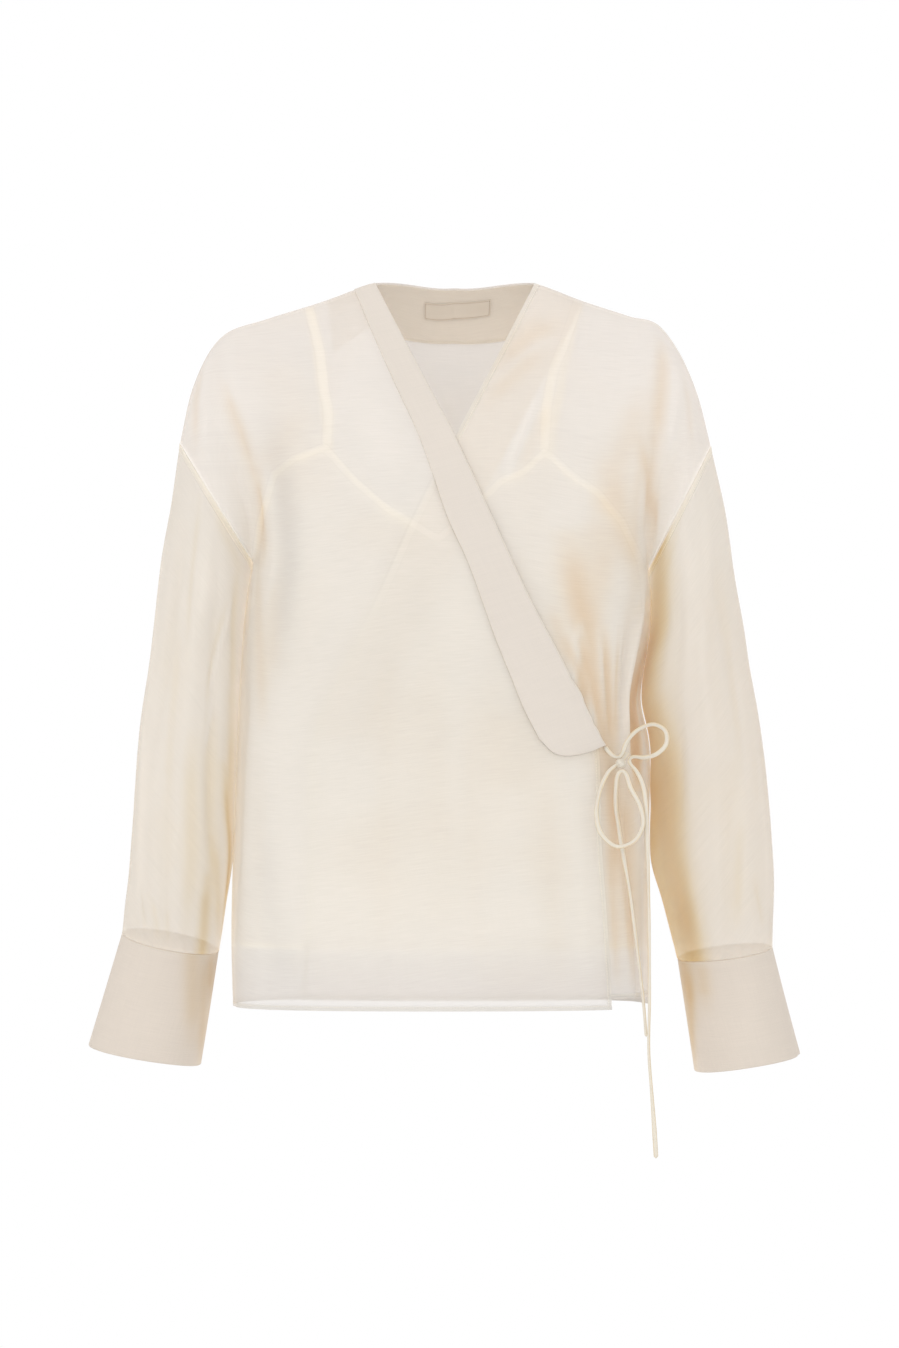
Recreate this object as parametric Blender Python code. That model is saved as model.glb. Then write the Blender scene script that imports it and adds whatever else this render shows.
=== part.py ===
"""A sheer wrap top, hollow and in its worn shape: two crossed fronts, a back, dropped sleeves with flared cuffs,
a flared band on the right front's neck edge, facings, a strappy lining and a tied bow at the left side.

The wearer faces -Y, so the wearer's right side is at -X. Tables and sizes are in millimetres, and each mesh is scaled
to metres. The origin lies between the two neck points, at the height of the shoulder seams' upper ends.

The body's cloth is one surface with two faces, front and back. A point on it has a share s, from -1 at the wearer's
right side to 1 at the left, and a level v: 0 on the shoulder line, 1 at the underarm, 2 at the hem. Each piece is a
wall between two offsets from that surface."""

import math

import bmesh
import bpy
import numpy as np

MM = 0.001
SEAM = 0.3  # gap between pieces that are sewn together
ARMHOLE_SEAM = 0.6
CLOTH = 1.0  # wall of the outer cloth
FACING_CLOTH = 0.8
LINING_CLOTH = 0.9
BAND_CLOTH = 1.6  # the band and the cuffs are two layers
CUFF_CLOTH = 1.8
LABEL_CLOTH = 0.5

INSIDE_CLOTH = -(CLOTH + SEAM)
INSIDE_FACING = INSIDE_CLOTH - FACING_CLOTH - SEAM
INSIDE_LINING = -5.0  # the lining hangs free inside the outer cloth

FRONT, BACK = -1, 1
RIGHT, LEFT = -1, 1

# The shoulder line, from the middle of the neck to the top of the armhole. out and drop are measured from the origin,
# on the wearer's right and left. A fall is the slope in degrees with which the cloth leaves the line on that face, and
# a reach is how far it keeps that slope.
NECK_SHARE = 0.3
SHOULDER_COLUMNS = (
    "share", "right_out", "right_drop", "left_out", "left_drop", "front_fall", "front_reach", "back_fall", "back_reach",
)
SHOULDER = (
    (0.00, -7.0, 0.0, 7.0, 0.0, 46, 200, -17, 300),
    (0.30, 63.4, 0.0, 77.4, 0.0, 42, 200, -6, 290),
    (0.45, 112.0, 17.0, 119.0, 15.5, 33, 200, 2, 270),
    (0.60, 160.0, 32.0, 160.0, 29.0, 24, 200, 5, 255),
    (0.72, 194.5, 44.4, 188.0, 38.5, 17, 210, 5, 250),
    (0.80, 209.5, 61.0, 205.5, 63.0, 11, 230, 5, 255),
    (0.88, 223.0, 90.0, 219.0, 94.0, 6, 255, 4, 270),
    (1.00, 235.0, 141.0, 232.0, 143.4, 0, 300, 0, 300),
)
RIDGE_Y = 6.0  # the shoulder seam at the neck lies this far behind the armhole's top
BACK_NECK_CUT = 0.2  # the back's neckline, at its middle, lies this share down the curve from the shoulder line
SETTLE = 200.0  # how firmly the cloth hangs straight at the underarm level
ARMHOLE_SETTLE = 190.0
ARMHOLE_SHARE = 0.86  # beyond this share the cloth turns into the armhole

# The body below the underarm: half widths on the two sides and depths before and behind the side seams.
UNDERARM_DROP = 249.0
UNDERARM_SKEW = 3.0
HEM_DROP = 636.0
TORSO_COLUMNS = ("drop", "right_half", "left_half", "front", "back")
TORSO = (
    (240, 170.3, 177.0, 118, 106),
    (323, 177.0, 178.0, 118, 102),
    (411, 182.0, 176.0, 117, 100),
    (499, 185.0, 174.5, 117, 103),
    (578, 186.5, 174.0, 118, 107),
    (640, 185.0, 174.0, 119, 110),
)
RING_POWER = {FRONT: 2.6, BACK: 2.4}
RING_SPREAD = 1.4

# Folds of the cloth, each from one point to another, with its half width and its height, below 0 for a trough. On the
# body a fold's places are across (share x 200) and down (along the cloth).
FOLD_COLUMNS = ("across_a", "down_a", "across_b", "down_b", "width", "height")
BODY_FOLDS = {
    FRONT: (
        (186, 282, 163, 420, 8, -13.0),
        (174, 262, 149, 420, 7, 4.0),
        (151, 300, 148, 415, 6, -5.0),
        (150, 445, 176, 640, 7, -5.0),
        (138, 470, 160, 640, 8, 3.0),
        (-160, 100, -172, 235, 13, -3.5),
        (160, 105, 172, 235, 13, -3.5),
        (-182, 330, -188, 560, 10, -3.0),
        (62, 40, 30, 95, 9, -2.0),
    ),
    BACK: (
        (-160, 110, -150, 300, 14, -5.0),
        (162, 105, 148, 310, 14, -5.0),
        (-70, 330, -84, 640, 16, 4.0),
        (60, 300, 76, 640, 16, 4.0),
        (-10, 380, 0, 640, 16, -4.0),
        (150, 420, 166, 640, 12, 4.0),
    ),
}
FOLD_END = 0.35  # a fold's height at its ends, as a share of its full height
FOLDS_FROM_TOP, FOLDS_FROM_SIDE = 0.12, 0.05  # the folds fade within this level and this share of the seams
LINING_PULL = (186, 260, 166, 440, 24, -17.0)  # where the tied fronts press the lining in

# The fronts' free edges, from the neck point to the hem: how far across at each drop, from the wearer's right to left.
EDGE_COLUMNS = ("drop", "right_front", "left_front")
EDGES = (
    (0, -63.4, 77.4),
    (70, -28.0, 42.0),
    (137, 6.5, 7.5),
    (208, 39.0, -28.5),
    (280, 72.5, -61.0),
    (341, 104.0, -92.0),
    (392, 128.5, -115.0),
    (404, 130.2, -117.0),
    (486, 133.0, -119.0),
    (572, 139.0, -123.0),
    (640, 142.6, -127.0),
)
LEFT_HEM_RISE = 9.0  # the left front, the under one, is this much shorter
BACK_HEM_RISE = 2.0
OVERLAP_LIFT = CLOTH + 0.6  # the right front lies on the left one
OVERLAP_START, OVERLAP_RISE = 36.0, 32.0  # it starts to rise this far before the left front's edge, over this width

# The band on the right front: its outer edge at each drop. Below the band the line only places the front's columns.
BAND_COLUMNS = ("drop", "across")
BAND = (
    (0, -84.0), (6, -81.4), (47, -64.6), (100, -41.2), (133, -26.0), (164, -14.7), (212, 1.8), (245, 17.1),
    (283, 31.2), (317, 43.3), (347, 55.4), (377, 67.5), (400, 80.0), (420, 90.0), (640, 100.0),
)
# The band's rounded lower end, by its last rows: the drop on the neck edge, and the point on the outer edge. The neck
# edge runs straight to the band's corner, past the front's own edge.
BAND_CORNER = (136.0, 406.0)
BAND_END_COLUMNS = ("inner_drop", "outer_across", "outer_drop")
BAND_END = ((387, 79.3, 400), (396, 91.4, 412), (402, 104.8, 415), (405, 121.4, 412), (405.9, 131, 408))
BAND_LEVEL = 1.34  # the last level above the rounded end

FRONT_FACING_WIDTH = 50.0  # across, which is 46 square to the neck edge
FRONT_FACING_LEVEL = 1.39
BACK_FACING_LEVEL = 0.21
BACK_FACING_SHARE = 0.43
LABEL_SHARES = (-0.118, 0.139)
LABEL_LEVELS = (0.055, 0.12)

# The lining's top edge on the front, from the right side to the left, and its straps up to the shoulder line.
LINING_TOP_COLUMNS = ("across", "drop")
LINING_TOP = (
    (-176, 285), (-167, 215), (-153, 168), (-135, 154), (-106, 143), (-79, 173), (-53, 196), (-8, 224), (20, 200),
    (46, 173), (65, 166), (84, 148), (92, 152), (112, 170), (133, 184), (155, 210), (172, 245), (179, 285),
)
LINING_BACK_TOP = 205.0
LINING_HEM = 583.0
# Each strap runs up the inside of its face to the shoulder seam, where its outer side comes out to the offset given.
STRAP_WIDTH = 8.0
STRAP_COLUMNS = ("share", "level")
STRAPS = {
    "strap_front_right": (
        FRONT, INSIDE_CLOTH, ((-0.456, 0.58), (-0.443, 0.475), (-0.453, 0.397), (-0.455, 0.267), (-0.479, 0.02))
    ),
    "strap_front_left": (
        FRONT, INSIDE_FACING, ((0.349, 0.603), (0.352, 0.471), (0.369, 0.348), (0.399, 0.246), (0.438, 0.02))
    ),
    "strap_back_right": (BACK, INSIDE_CLOTH, ((-0.49, 0.856), (-0.478, 0.634), (-0.476, 0.428), (-0.479, 0.02))),
    "strap_back_left": (BACK, INSIDE_FACING - SEAM, ((0.386, 0.8335), (0.396, 0.642), (0.416, 0.446), (0.448, 0.02))),
}

# The sleeves: outer and inner edge of each section seen from the front, how far it bulges before and behind near those
# edges, where its middle lies along Y, and how much its front half hangs. The first section is the armhole.
SLEEVE_COLUMNS = (
    "share", "out", "out_drop", "in", "in_drop", "reach_out", "reach_in", "middle_y", "hang",
)
SLEEVES = {
    RIGHT: (
        (0.00, 235.0, 141.0, 170.3, 246.0, 300, 190, 0, 0),
        (0.10, 243.0, 195.0, 176.6, 285.0, 285, 235, 6, 0),
        (0.24, 252.8, 255.0, 180.4, 335.0, 272, 256, 14, 0),
        (0.40, 261.5, 325.0, 183.8, 395.0, 260, 260, 19, 1),
        (0.57, 272.0, 400.0, 186.6, 455.0, 248, 248, 20, 2),
        (0.74, 277.0, 470.0, 188.6, 507.0, 228, 228, 18, 4),
        (0.89, 282.0, 530.0, 195.5, 552.0, 204, 204, 13, 6),
        (1.00, 286.0, 571.0, 201.0, 587.0, 180, 180, 8, 7),
    ),
    LEFT: (
        (0.00, 232.0, 143.4, 177.0, 252.0, 300, 190, 0, 0),
        (0.10, 244.3, 196.0, 180.4, 290.0, 285, 235, 6, 0),
        (0.24, 253.6, 255.0, 181.4, 338.0, 272, 256, 14, 0),
        (0.40, 265.5, 325.0, 180.6, 397.0, 260, 260, 19, 1),
        (0.57, 278.0, 400.0, 179.4, 455.0, 248, 248, 20, 2),
        (0.74, 285.5, 470.0, 179.6, 504.0, 228, 228, 18, 4),
        (0.89, 288.0, 535.0, 191.5, 550.0, 204, 204, 13, 5),
        (1.00, 286.5, 583.5, 203.0, 594.0, 180, 180, 8, 5),
    ),
}
# The cuffs' ends, in the same columns without the share.
CUFF_ENDS = {
    RIGHT: (315.0, 671.0, 215.8, 687.5, 196, 196, 3, 3),
    LEFT: (310.5, 679.0, 217.5, 693.5, 196, 196, 3, 2.5),
}

# Folds of a sleeve: across is around it (0 at the outer edge, 175 at the inner, below 0 on the back), and down is
# along it, from 0 to 440.
SLEEVE_AROUND, SLEEVE_ALONG = 175.0, 440.0
SLEEVE_FOLDS = (
    (108, 44, 126, 350, 10, -4.0),
    (88, 22, 80, 240, 11, 3.0),
    (52, 52, 45, 270, 9, -2.5),
    (63, 265, 80, 430, 9, -3.0),
    (-79, 44, -96, 375, 12, -4.5),
    (-44, 155, -52, 420, 11, 3.5),
    (-122, 22, -131, 200, 11, -3.0),
)
FOLDS_FROM_ARMHOLE, FOLDS_FROM_CUFF = 0.1, 0.08

# The ties, as round cords, each by the points of its route. Beside the knot each one starts square to its surface.
TIE_RADIUS = 1.4
TIE_STEP, TAIL_STEP = 9.0, 17.0
TIE_END_STEP = 3.6
KNOT_CENTRE = (151.0, -88.0, -421.5)
KNOT_SIZE = (10.0, 8.0, 9.0)
KNOT_SEGMENTS, KNOT_RINGS = 12, 8
TIES = {
    "tie_a_lead": ((137.0, -90.0, -407.0), (140.5, -90.0, -411.5), (144.4, -88.5, -415.7), (147.0, -88.3, -418.3)),
    "tie_a_loop": (
        (151.5, -90.8, -417.8), (151.9, -93.5, -415.0), (156.5, -98.0, -402.0), (168.0, -101.0, -391.0),
        (180.5, -102.5, -387.8), (189.5, -102.5, -393.5), (190.3, -101.5, -404.0), (182.5, -99.5, -413.0),
        (171.0, -97.0, -416.5), (161.0, -93.5, -415.6), (157.0, -91.4, -416.3), (154.6, -89.8, -418.5),
    ),
    "tie_a_tail": (
        (156.1, -89.1, -422.0), (159.6, -90.3, -422.8), (165.4, -95.0, -430.0), (170.2, -98.5, -441.5),
        (172.4, -100.0, -456.0), (173.4, -101.0, -480.0), (174.6, -102.0, -516.0), (175.4, -102.0, -570.0),
        (175.6, -102.0, -628.0), (175.2, -102.0, -675.0), (177.4, -102.0, -705.0), (179.6, -102.0, -735.0),
        (181.4, -102.0, -764.0),
    ),
    "tie_b_lead": ((157.3, -68.8, -412.0), (155.8, -74.5, -415.0), (153.1, -80.8, -418.5), (152.3, -84.1, -419.7)),
    "tie_b_loop": (
        (146.6, -89.9, -423.3), (143.8, -91.7, -424.8), (137.2, -98.0, -434.0), (131.6, -102.0, -449.0),
        (129.6, -104.0, -466.0), (133.8, -105.0, -482.5), (147.5, -105.0, -493.6), (162.0, -104.5, -489.0),
        (170.0, -103.5, -474.5), (167.3, -102.0, -458.0), (159.5, -98.0, -443.0), (154.6, -92.8, -427.8),
        (153.2, -90.5, -424.9),
    ),
    "tie_b_tail": (
        (149.3, -89.2, -425.9), (148.3, -90.4, -429.2), (146.8, -94.0, -441.0), (146.4, -95.0, -456.0),
        (149.0, -95.0, -477.0), (152.6, -95.0, -499.0), (157.8, -95.0, -529.0), (162.4, -95.0, -561.0),
        (167.4, -95.0, -600.0), (170.4, -95.0, -627.0), (173.0, -95.0, -659.0),
    ),
}

COLOURS = {
    "cloth": (0.80, 0.74, 0.64),
    "cuff": (0.72, 0.64, 0.56),
    "band": (0.76, 0.70, 0.64),
    "facing": (0.64, 0.56, 0.47),
    "lining": (0.80, 0.75, 0.64),
    "label": (0.78, 0.76, 0.72),
    "tie": (0.82, 0.76, 0.66),
}
CLOTH_ROUGHNESS = 0.6


def named(columns, rows):
    """A table's columns as arrays, by their names."""
    return {name: np.array(values, float) for name, values in zip(columns, zip(*rows))}


def smooth(t):
    t = np.clip(t, 0.0, 1.0)
    return t * t * (3.0 - 2.0 * t)


def curve(xs, ys, x):
    """A smooth curve through the points (xs, ys), read at x."""
    x = np.clip(np.asarray(x, float), xs[0], xs[-1])
    slopes = np.gradient(ys, xs)
    i = np.clip(np.searchsorted(xs, x, side="right") - 1, 0, len(xs) - 2)
    step = xs[i + 1] - xs[i]
    t = (x - xs[i]) / step
    return (
        ys[i] * (1 + 2 * t) * (1 - t) ** 2
        + ys[i + 1] * (3 - 2 * t) * t**2
        + step * (slopes[i] * t * (1 - t) ** 2 - slopes[i + 1] * t**2 * (1 - t))
    )


def unit(vectors):
    return vectors / np.maximum(np.linalg.norm(vectors, axis=-1, keepdims=True), 1e-12)


def stack(x, y, z):
    return np.stack(np.broadcast_arrays(x, y, z), axis=-1).astype(float)


SHOULDER_LINE = named(SHOULDER_COLUMNS, SHOULDER)
TORSO_LINES = named(TORSO_COLUMNS, TORSO)
EDGE_LINES = named(EDGE_COLUMNS, EDGES)
BAND_LINE = named(BAND_COLUMNS, BAND)
LINING_LINE = named(LINING_TOP_COLUMNS, LINING_TOP)


def shoulder(name, s):
    return curve(SHOULDER_LINE["share"], SHOULDER_LINE[name], np.abs(s))


def torso(name, drop):
    return curve(TORSO_LINES["drop"], TORSO_LINES[name], drop)


def ridge(s):
    """The shoulder line, which the two faces share outside the neck."""
    x = np.where(s < 0, -shoulder("right_out", s), shoulder("left_out", s))
    drop = np.where(s < 0, shoulder("right_drop", s), shoulder("left_drop", s))
    return stack(x, RIDGE_Y * (1 - np.abs(s)), -drop)


def ring(face, s, z):
    """The body's section at height z, below the underarms."""
    right, left = torso("right_half", -z), torso("left_half", -z)
    angle = np.pi / 2 * np.abs(s) ** RING_SPREAD
    power = 2 / RING_POWER[face]
    x = (left - right) / 2 + np.sign(s) * (left + right) / 2 * np.sin(angle) ** power
    depth = torso("front" if face == FRONT else "back", -z)
    return stack(x, face * depth * np.clip(np.cos(angle), 0, 1) ** power, z)


def underarm_z(s):
    return -UNDERARM_DROP - UNDERARM_SKEW * np.asarray(s, float)


def upper_cloth(face, s, v):
    """The cloth between the shoulder line and the underarm level, as smooth curves down the body. Behind the neck the
    back begins on its neckline, part of the way down those curves."""
    start, end = ridge(s), ring(face, s, underarm_z(s))
    name = "front" if face == FRONT else "back"
    fall, reach = np.radians(shoulder(name + "_fall", s)), shoulder(name + "_reach", s)
    into_armhole = smooth((np.abs(s) - ARMHOLE_SHARE) / (1 - ARMHOLE_SHARE))
    leave = stack(0 * reach, face * reach * np.cos(fall), -reach * np.sin(fall))
    arrive = stack(0 * reach, -face * ARMHOLE_SETTLE * into_armhole, -SETTLE * (1 - into_armhole))
    if face == BACK:
        neckline = BACK_NECK_CUT * np.sqrt(np.clip(1 - (np.abs(s) / NECK_SHARE) ** 2, 0, 1))
        v = neckline + (1 - neckline) * v
    t = v[..., None]
    return (
        start * (1 + 2 * t) * (1 - t) ** 2
        + end * (3 - 2 * t) * t**2
        + leave * t * (1 - t) ** 2
        - arrive * t**2 * (1 - t)
    )


def plain_cloth(face, s, v):
    s, v = np.broadcast_arrays(np.asarray(s, float), np.asarray(v, float))
    top = underarm_z(s)
    lower = ring(face, s, top - (np.maximum(v, 1) - 1) * (HEM_DROP + top))
    return np.where((v < 1)[..., None], upper_cloth(face, s, np.minimum(v, 1)), lower)


def normals(surface, s, v, step=1e-3):
    """Outward normals of a surface given by two shares, from differences to either side."""
    ds = surface(np.minimum(s + step, 1), v) - surface(np.maximum(s - step, -1), v)
    dv = surface(s, np.minimum(v + step, 2)) - surface(s, np.maximum(v - step, 0))
    return unit(np.cross(dv, ds))


def outward(face, vectors):
    """Turns a face's normals so that they point out of the garment."""
    return vectors if face == FRONT else -vectors


def along_segment(a, b, x, y):
    """How far each point (x, y) lies from the segment a-b, and where along it, from 0 to 1."""
    run = np.array(b, float) - np.array(a, float)
    t = np.clip(((x - a[0]) * run[0] + (y - a[1]) * run[1]) / (run @ run), 0, 1)
    return np.hypot(x - a[0] - t * run[0], y - a[1] - t * run[1]), t


def fold_height(folds, x, y):
    """The folds' height at each point: a soft bell across each one, fading at its two ends."""
    total = np.zeros(np.broadcast(x, y).shape)
    for row in folds:
        fold = dict(zip(FOLD_COLUMNS, row))
        start, end = (fold["across_a"], fold["down_a"]), (fold["across_b"], fold["down_b"])
        away, t = along_segment(start, end, x, y)
        fade = FOLD_END + (1 - FOLD_END) * smooth(4 * t) * smooth(4 - 4 * t)
        total = total + fold["height"] * np.exp(-((away / fold["width"]) ** 2)) * fade
    return total


def cloth_down(v):
    """How far down the cloth a level lies, in the folds' millimetres."""
    return np.where(v < 1, UNDERARM_DROP * v, UNDERARM_DROP + (HEM_DROP - UNDERARM_DROP) * (v - 1))


def cloth(face, s, v):
    """The body's cloth with its folds."""
    s, v = np.broadcast_arrays(np.asarray(s, float), np.asarray(v, float))
    height = fold_height(BODY_FOLDS[face], 200 * s, cloth_down(v))
    height = height * smooth((1 - np.abs(s)) / FOLDS_FROM_SIDE) * smooth(v / FOLDS_FROM_TOP)
    out = outward(face, normals(lambda a, b: plain_cloth(face, a, b), s, v))
    return plain_cloth(face, s, v) + out * height[..., None]


def cloth_normals(face, s, v):
    """The cloth's outward normals; along the shoulder seam both faces share the seam's own."""
    s, v = np.broadcast_arrays(np.asarray(s, float), np.asarray(v, float))
    found = outward(face, normals(lambda a, b: cloth(face, a, b), s, v))
    step = 1e-3
    run = ridge(np.minimum(s + step, 1)) - ridge(np.maximum(s - step, -1))
    seam = unit(stack(-run[..., 2], 0 * s, run[..., 0]))
    on_seam = (v < 1e-6) & (np.abs(s) > NECK_SHARE - 1e-3)
    return np.where(on_seam[..., None], seam, found)


def bisect(low, high, is_past, steps=40):
    """The place between low and high where is_past turns true, for arrays."""
    low, high = np.array(low, float), np.array(high, float)
    for _ in range(steps):
        middle = (low + high) / 2
        past = is_past(middle)
        low, high = np.where(past, low, middle), np.where(past, middle, high)
    return (low + high) / 2


def edge_across(name, drop):
    return curve(EDGE_LINES["drop"], EDGE_LINES[name], drop)


def share_of_line(line, v):
    """The share at which each level of the front meets a line, given as across for each drop."""

    def past(s):
        point = cloth(FRONT, s, v)
        return point[..., 0] > line(-point[..., 2])

    return bisect(np.full(len(v), -0.999), np.full(len(v), 0.999), past)


def find_on_cloth(face, across, drop, rounds=14):
    """The share and level of the point that lies at (across, drop) as seen from the front."""
    across, drop = np.broadcast_arrays(np.asarray(across, float), np.asarray(drop, float))
    s = np.clip(across / 200, -0.95, 0.95)
    v = np.where(drop < UNDERARM_DROP, drop / UNDERARM_DROP, 1 + (drop - UNDERARM_DROP) / (HEM_DROP - UNDERARM_DROP))
    step = 1e-4
    for _ in range(rounds):
        here = cloth(face, s, v)
        by_s, by_v = cloth(face, s + step, v) - here, cloth(face, s, v + step) - here
        miss_x, miss_z = across - here[..., 0], -drop - here[..., 2]
        scale = step / (by_s[..., 0] * by_v[..., 2] - by_s[..., 2] * by_v[..., 0])
        s = np.clip(s + 0.9 * scale * (miss_x * by_v[..., 2] - miss_z * by_v[..., 0]), -0.999, 0.999)
        v = np.clip(v + 0.9 * scale * (miss_z * by_s[..., 0] - miss_x * by_s[..., 2]), 0.004, 1.999)
    return s, v


def add_object(name, data, colour):
    material = bpy.data.materials.new(name)
    material.use_nodes = True
    shader = material.node_tree.nodes["Principled BSDF"]
    shader.inputs["Base Color"].default_value = (*COLOURS[colour], 1)
    shader.inputs["Roughness"].default_value = CLOTH_ROUGHNESS
    shader.inputs["Metallic"].default_value = 0.0
    data.materials.append(material)
    piece = bpy.data.objects.new(name, data)
    bpy.context.scene.collection.objects.link(piece)
    return piece


def wall(name, outer, inner, colour, around=False):
    """A closed wall between two grids of points. With around, its columns run all round a tube."""
    rows, columns = outer.shape[:2]
    points = np.concatenate([outer.reshape(-1, 3), inner.reshape(-1, 3)]) * MM
    index = np.arange(2 * rows * columns).reshape(2, rows, columns)
    if around:
        index = np.concatenate([index, index[:, :, :1]], axis=2)
    faces = []
    for layer in index:
        quads = np.stack([layer[:-1, :-1], layer[1:, :-1], layer[1:, 1:], layer[:-1, 1:]], axis=-1)
        faces += quads.reshape(-1, 4).tolist()
    borders = [index[:, 0, :], index[:, -1, :]]
    if not around:
        borders += [index[:, :, 0], index[:, :, -1]]
    for border in borders:
        quads = np.stack([border[0, :-1], border[0, 1:], border[1, 1:], border[1, :-1]], axis=-1)
        faces += quads.tolist()
    mesh = bpy.data.meshes.new(name)
    mesh.from_pydata(points.tolist(), [], faces)
    shape = bmesh.new()
    shape.from_mesh(mesh)
    bmesh.ops.recalc_face_normals(shape, faces=shape.faces)
    shape.to_mesh(mesh)
    shape.free()
    mesh.shade_smooth()
    mesh.set_sharp_from_angle(angle=math.radians(50))
    return add_object(name, mesh, colour)


def sheet(name, face, s, v, outer, thick, colour):
    """A wall on the body's cloth: outer is how far its outer side lies from the cloth."""
    place, out = cloth(face, s, v), cloth_normals(face, s, v)
    lift = np.broadcast_to(outer, s.shape)[..., None]
    return wall(name, place + out * lift, place + out * (lift - thick), colour)


def armhole_plane(side):
    """The normal of the armhole's plane, towards the body."""
    columns = named(SLEEVE_COLUMNS, SLEEVES[side])
    run = np.array([columns["in"][0] - columns["out"][0], columns["out_drop"][0] - columns["in_drop"][0]])
    run = run / np.hypot(*run)
    return np.array([side * run[1], 0.0, -run[0]])


def body_panel(name, face, s, v, lift):
    """A panel of the body, kept clear of the shoulder seam and of the sleeves' side of the armholes."""
    place, out = cloth(face, s, v), cloth_normals(face, s, v)
    outer = place + out * lift[..., None]
    inner = outer - out * CLOTH
    outer[0, :, 1] += face * SEAM / 2
    inner[0, :, 1] += face * SEAM / 2
    for side in (RIGHT, LEFT):
        to_body = armhole_plane(side)
        at_armhole = (np.abs(s - side) < 1e-6) & (v <= 1 + 1e-6)
        across = np.minimum((inner - outer) @ to_body, 0)
        inner -= (at_armhole * across)[..., None] * to_body
        shift = (at_armhole * ARMHOLE_SEAM / 2)[..., None] * to_body
        outer, inner = outer + shift, inner + shift
        at_side = (np.abs(s - side) < 1e-6) & (v > 1 + 1e-6)
        outer[..., 1] += at_side * face * SEAM / 2
        inner[..., 1] += at_side * face * SEAM / 2
    return wall(name, outer, inner, "cloth")


UPPER_LEVELS = (0, 0.02, 0.055, 0.12, 0.21, 0.3, 0.39, 0.48, 0.57, 0.66, 0.75, 0.84, 0.92)
LOWER_STEPS = 13
EDGE_CELLS = 3  # cells across the band and the front facing
FRONT_RIGHT_CELLS, FRONT_LEFT_CELLS = 20, 18
SHOULDER_CELLS = 11
NECK_SIDE_CELLS, LABEL_CELLS = 3, 5


def levels(hem_rise):
    """The levels of a panel's rows, from the shoulder seam to its hem."""
    bottom = 2 - hem_rise / (HEM_DROP - UNDERARM_DROP)
    lower = 1 + np.arange(LOWER_STEPS + 1) / LOWER_STEPS
    return np.concatenate([UPPER_LEVELS, np.minimum(lower, bottom)])


def over_left_front(s, v):
    """How far the right front stands off: it rises onto the left front near that one's free edge."""
    place = cloth(FRONT, s, v)
    inside = place[..., 0] - edge_across("left_front", -place[..., 2])
    return OVERLAP_LIFT * smooth((inside + OVERLAP_START) / OVERLAP_RISE)


def front_grid(side, edge, inner_line, cells, hem_rise):
    """A front's shares and levels, in columns from its free edge over an inner line to its side seam."""
    v = levels(hem_rise)
    start = share_of_line(lambda drop: edge_across(edge, drop), v)[:, None]
    line = share_of_line(inner_line, v)[:, None]
    s = np.concatenate(
        [
            start + (line - start) * np.linspace(0, 1, EDGE_CELLS + 1)[:-1],
            line + (side - line) * np.linspace(0, 1, cells + 1),
        ],
        axis=1,
    )
    return s, np.broadcast_to(v[:, None], s.shape)


def add_right_front():
    """The right front, which lies on the left one, and the flared band on its neck edge."""

    def band_edge(drop):
        return curve(BAND_LINE["drop"], BAND_LINE["across"], drop)

    s, v = front_grid(RIGHT, "right_front", band_edge, FRONT_RIGHT_CELLS, 0)
    body_panel("front_right", FRONT, s, v, over_left_front(s, v))

    rows = (v[:, 0] > 1e-6) & (v[:, 0] < BAND_LEVEL)
    end = named(BAND_END_COLUMNS, BAND_END)
    neck_point = EDGE_LINES["right_front"][0]
    neck_across = neck_point + (BAND_CORNER[0] - neck_point) * end["inner_drop"] / BAND_CORNER[1]
    share = np.linspace(0, 1, EDGE_CELLS + 1)
    across = neck_across[:, None] + (end["outer_across"] - neck_across)[:, None] * share
    drop = end["inner_drop"][:, None] + (end["outer_drop"] - end["inner_drop"])[:, None] * share
    end_s, end_v = find_on_cloth(FRONT, across, drop)
    s = np.concatenate([s[rows, : EDGE_CELLS + 1], end_s])
    v = np.concatenate([v[rows, : EDGE_CELLS + 1], end_v])
    sheet("neck_band", FRONT, s, v, over_left_front(s, v) + SEAM + BAND_CLOTH, BAND_CLOTH, "band")


def add_left_front():
    """The left front, the under one, with the facing inside its neck edge."""

    def facing_edge(drop):
        return edge_across("left_front", drop) + FRONT_FACING_WIDTH

    s, v = front_grid(LEFT, "left_front", facing_edge, FRONT_LEFT_CELLS, LEFT_HEM_RISE)
    body_panel("front_left", FRONT, s, v, np.zeros(s.shape))
    rows = (v[:, 0] > 1e-6) & (v[:, 0] < FRONT_FACING_LEVEL)
    s, v = s[rows, : EDGE_CELLS + 1], v[rows, : EDGE_CELLS + 1]
    sheet("front_facing", FRONT, s, v, INSIDE_CLOTH, FACING_CLOTH, "facing")


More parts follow.
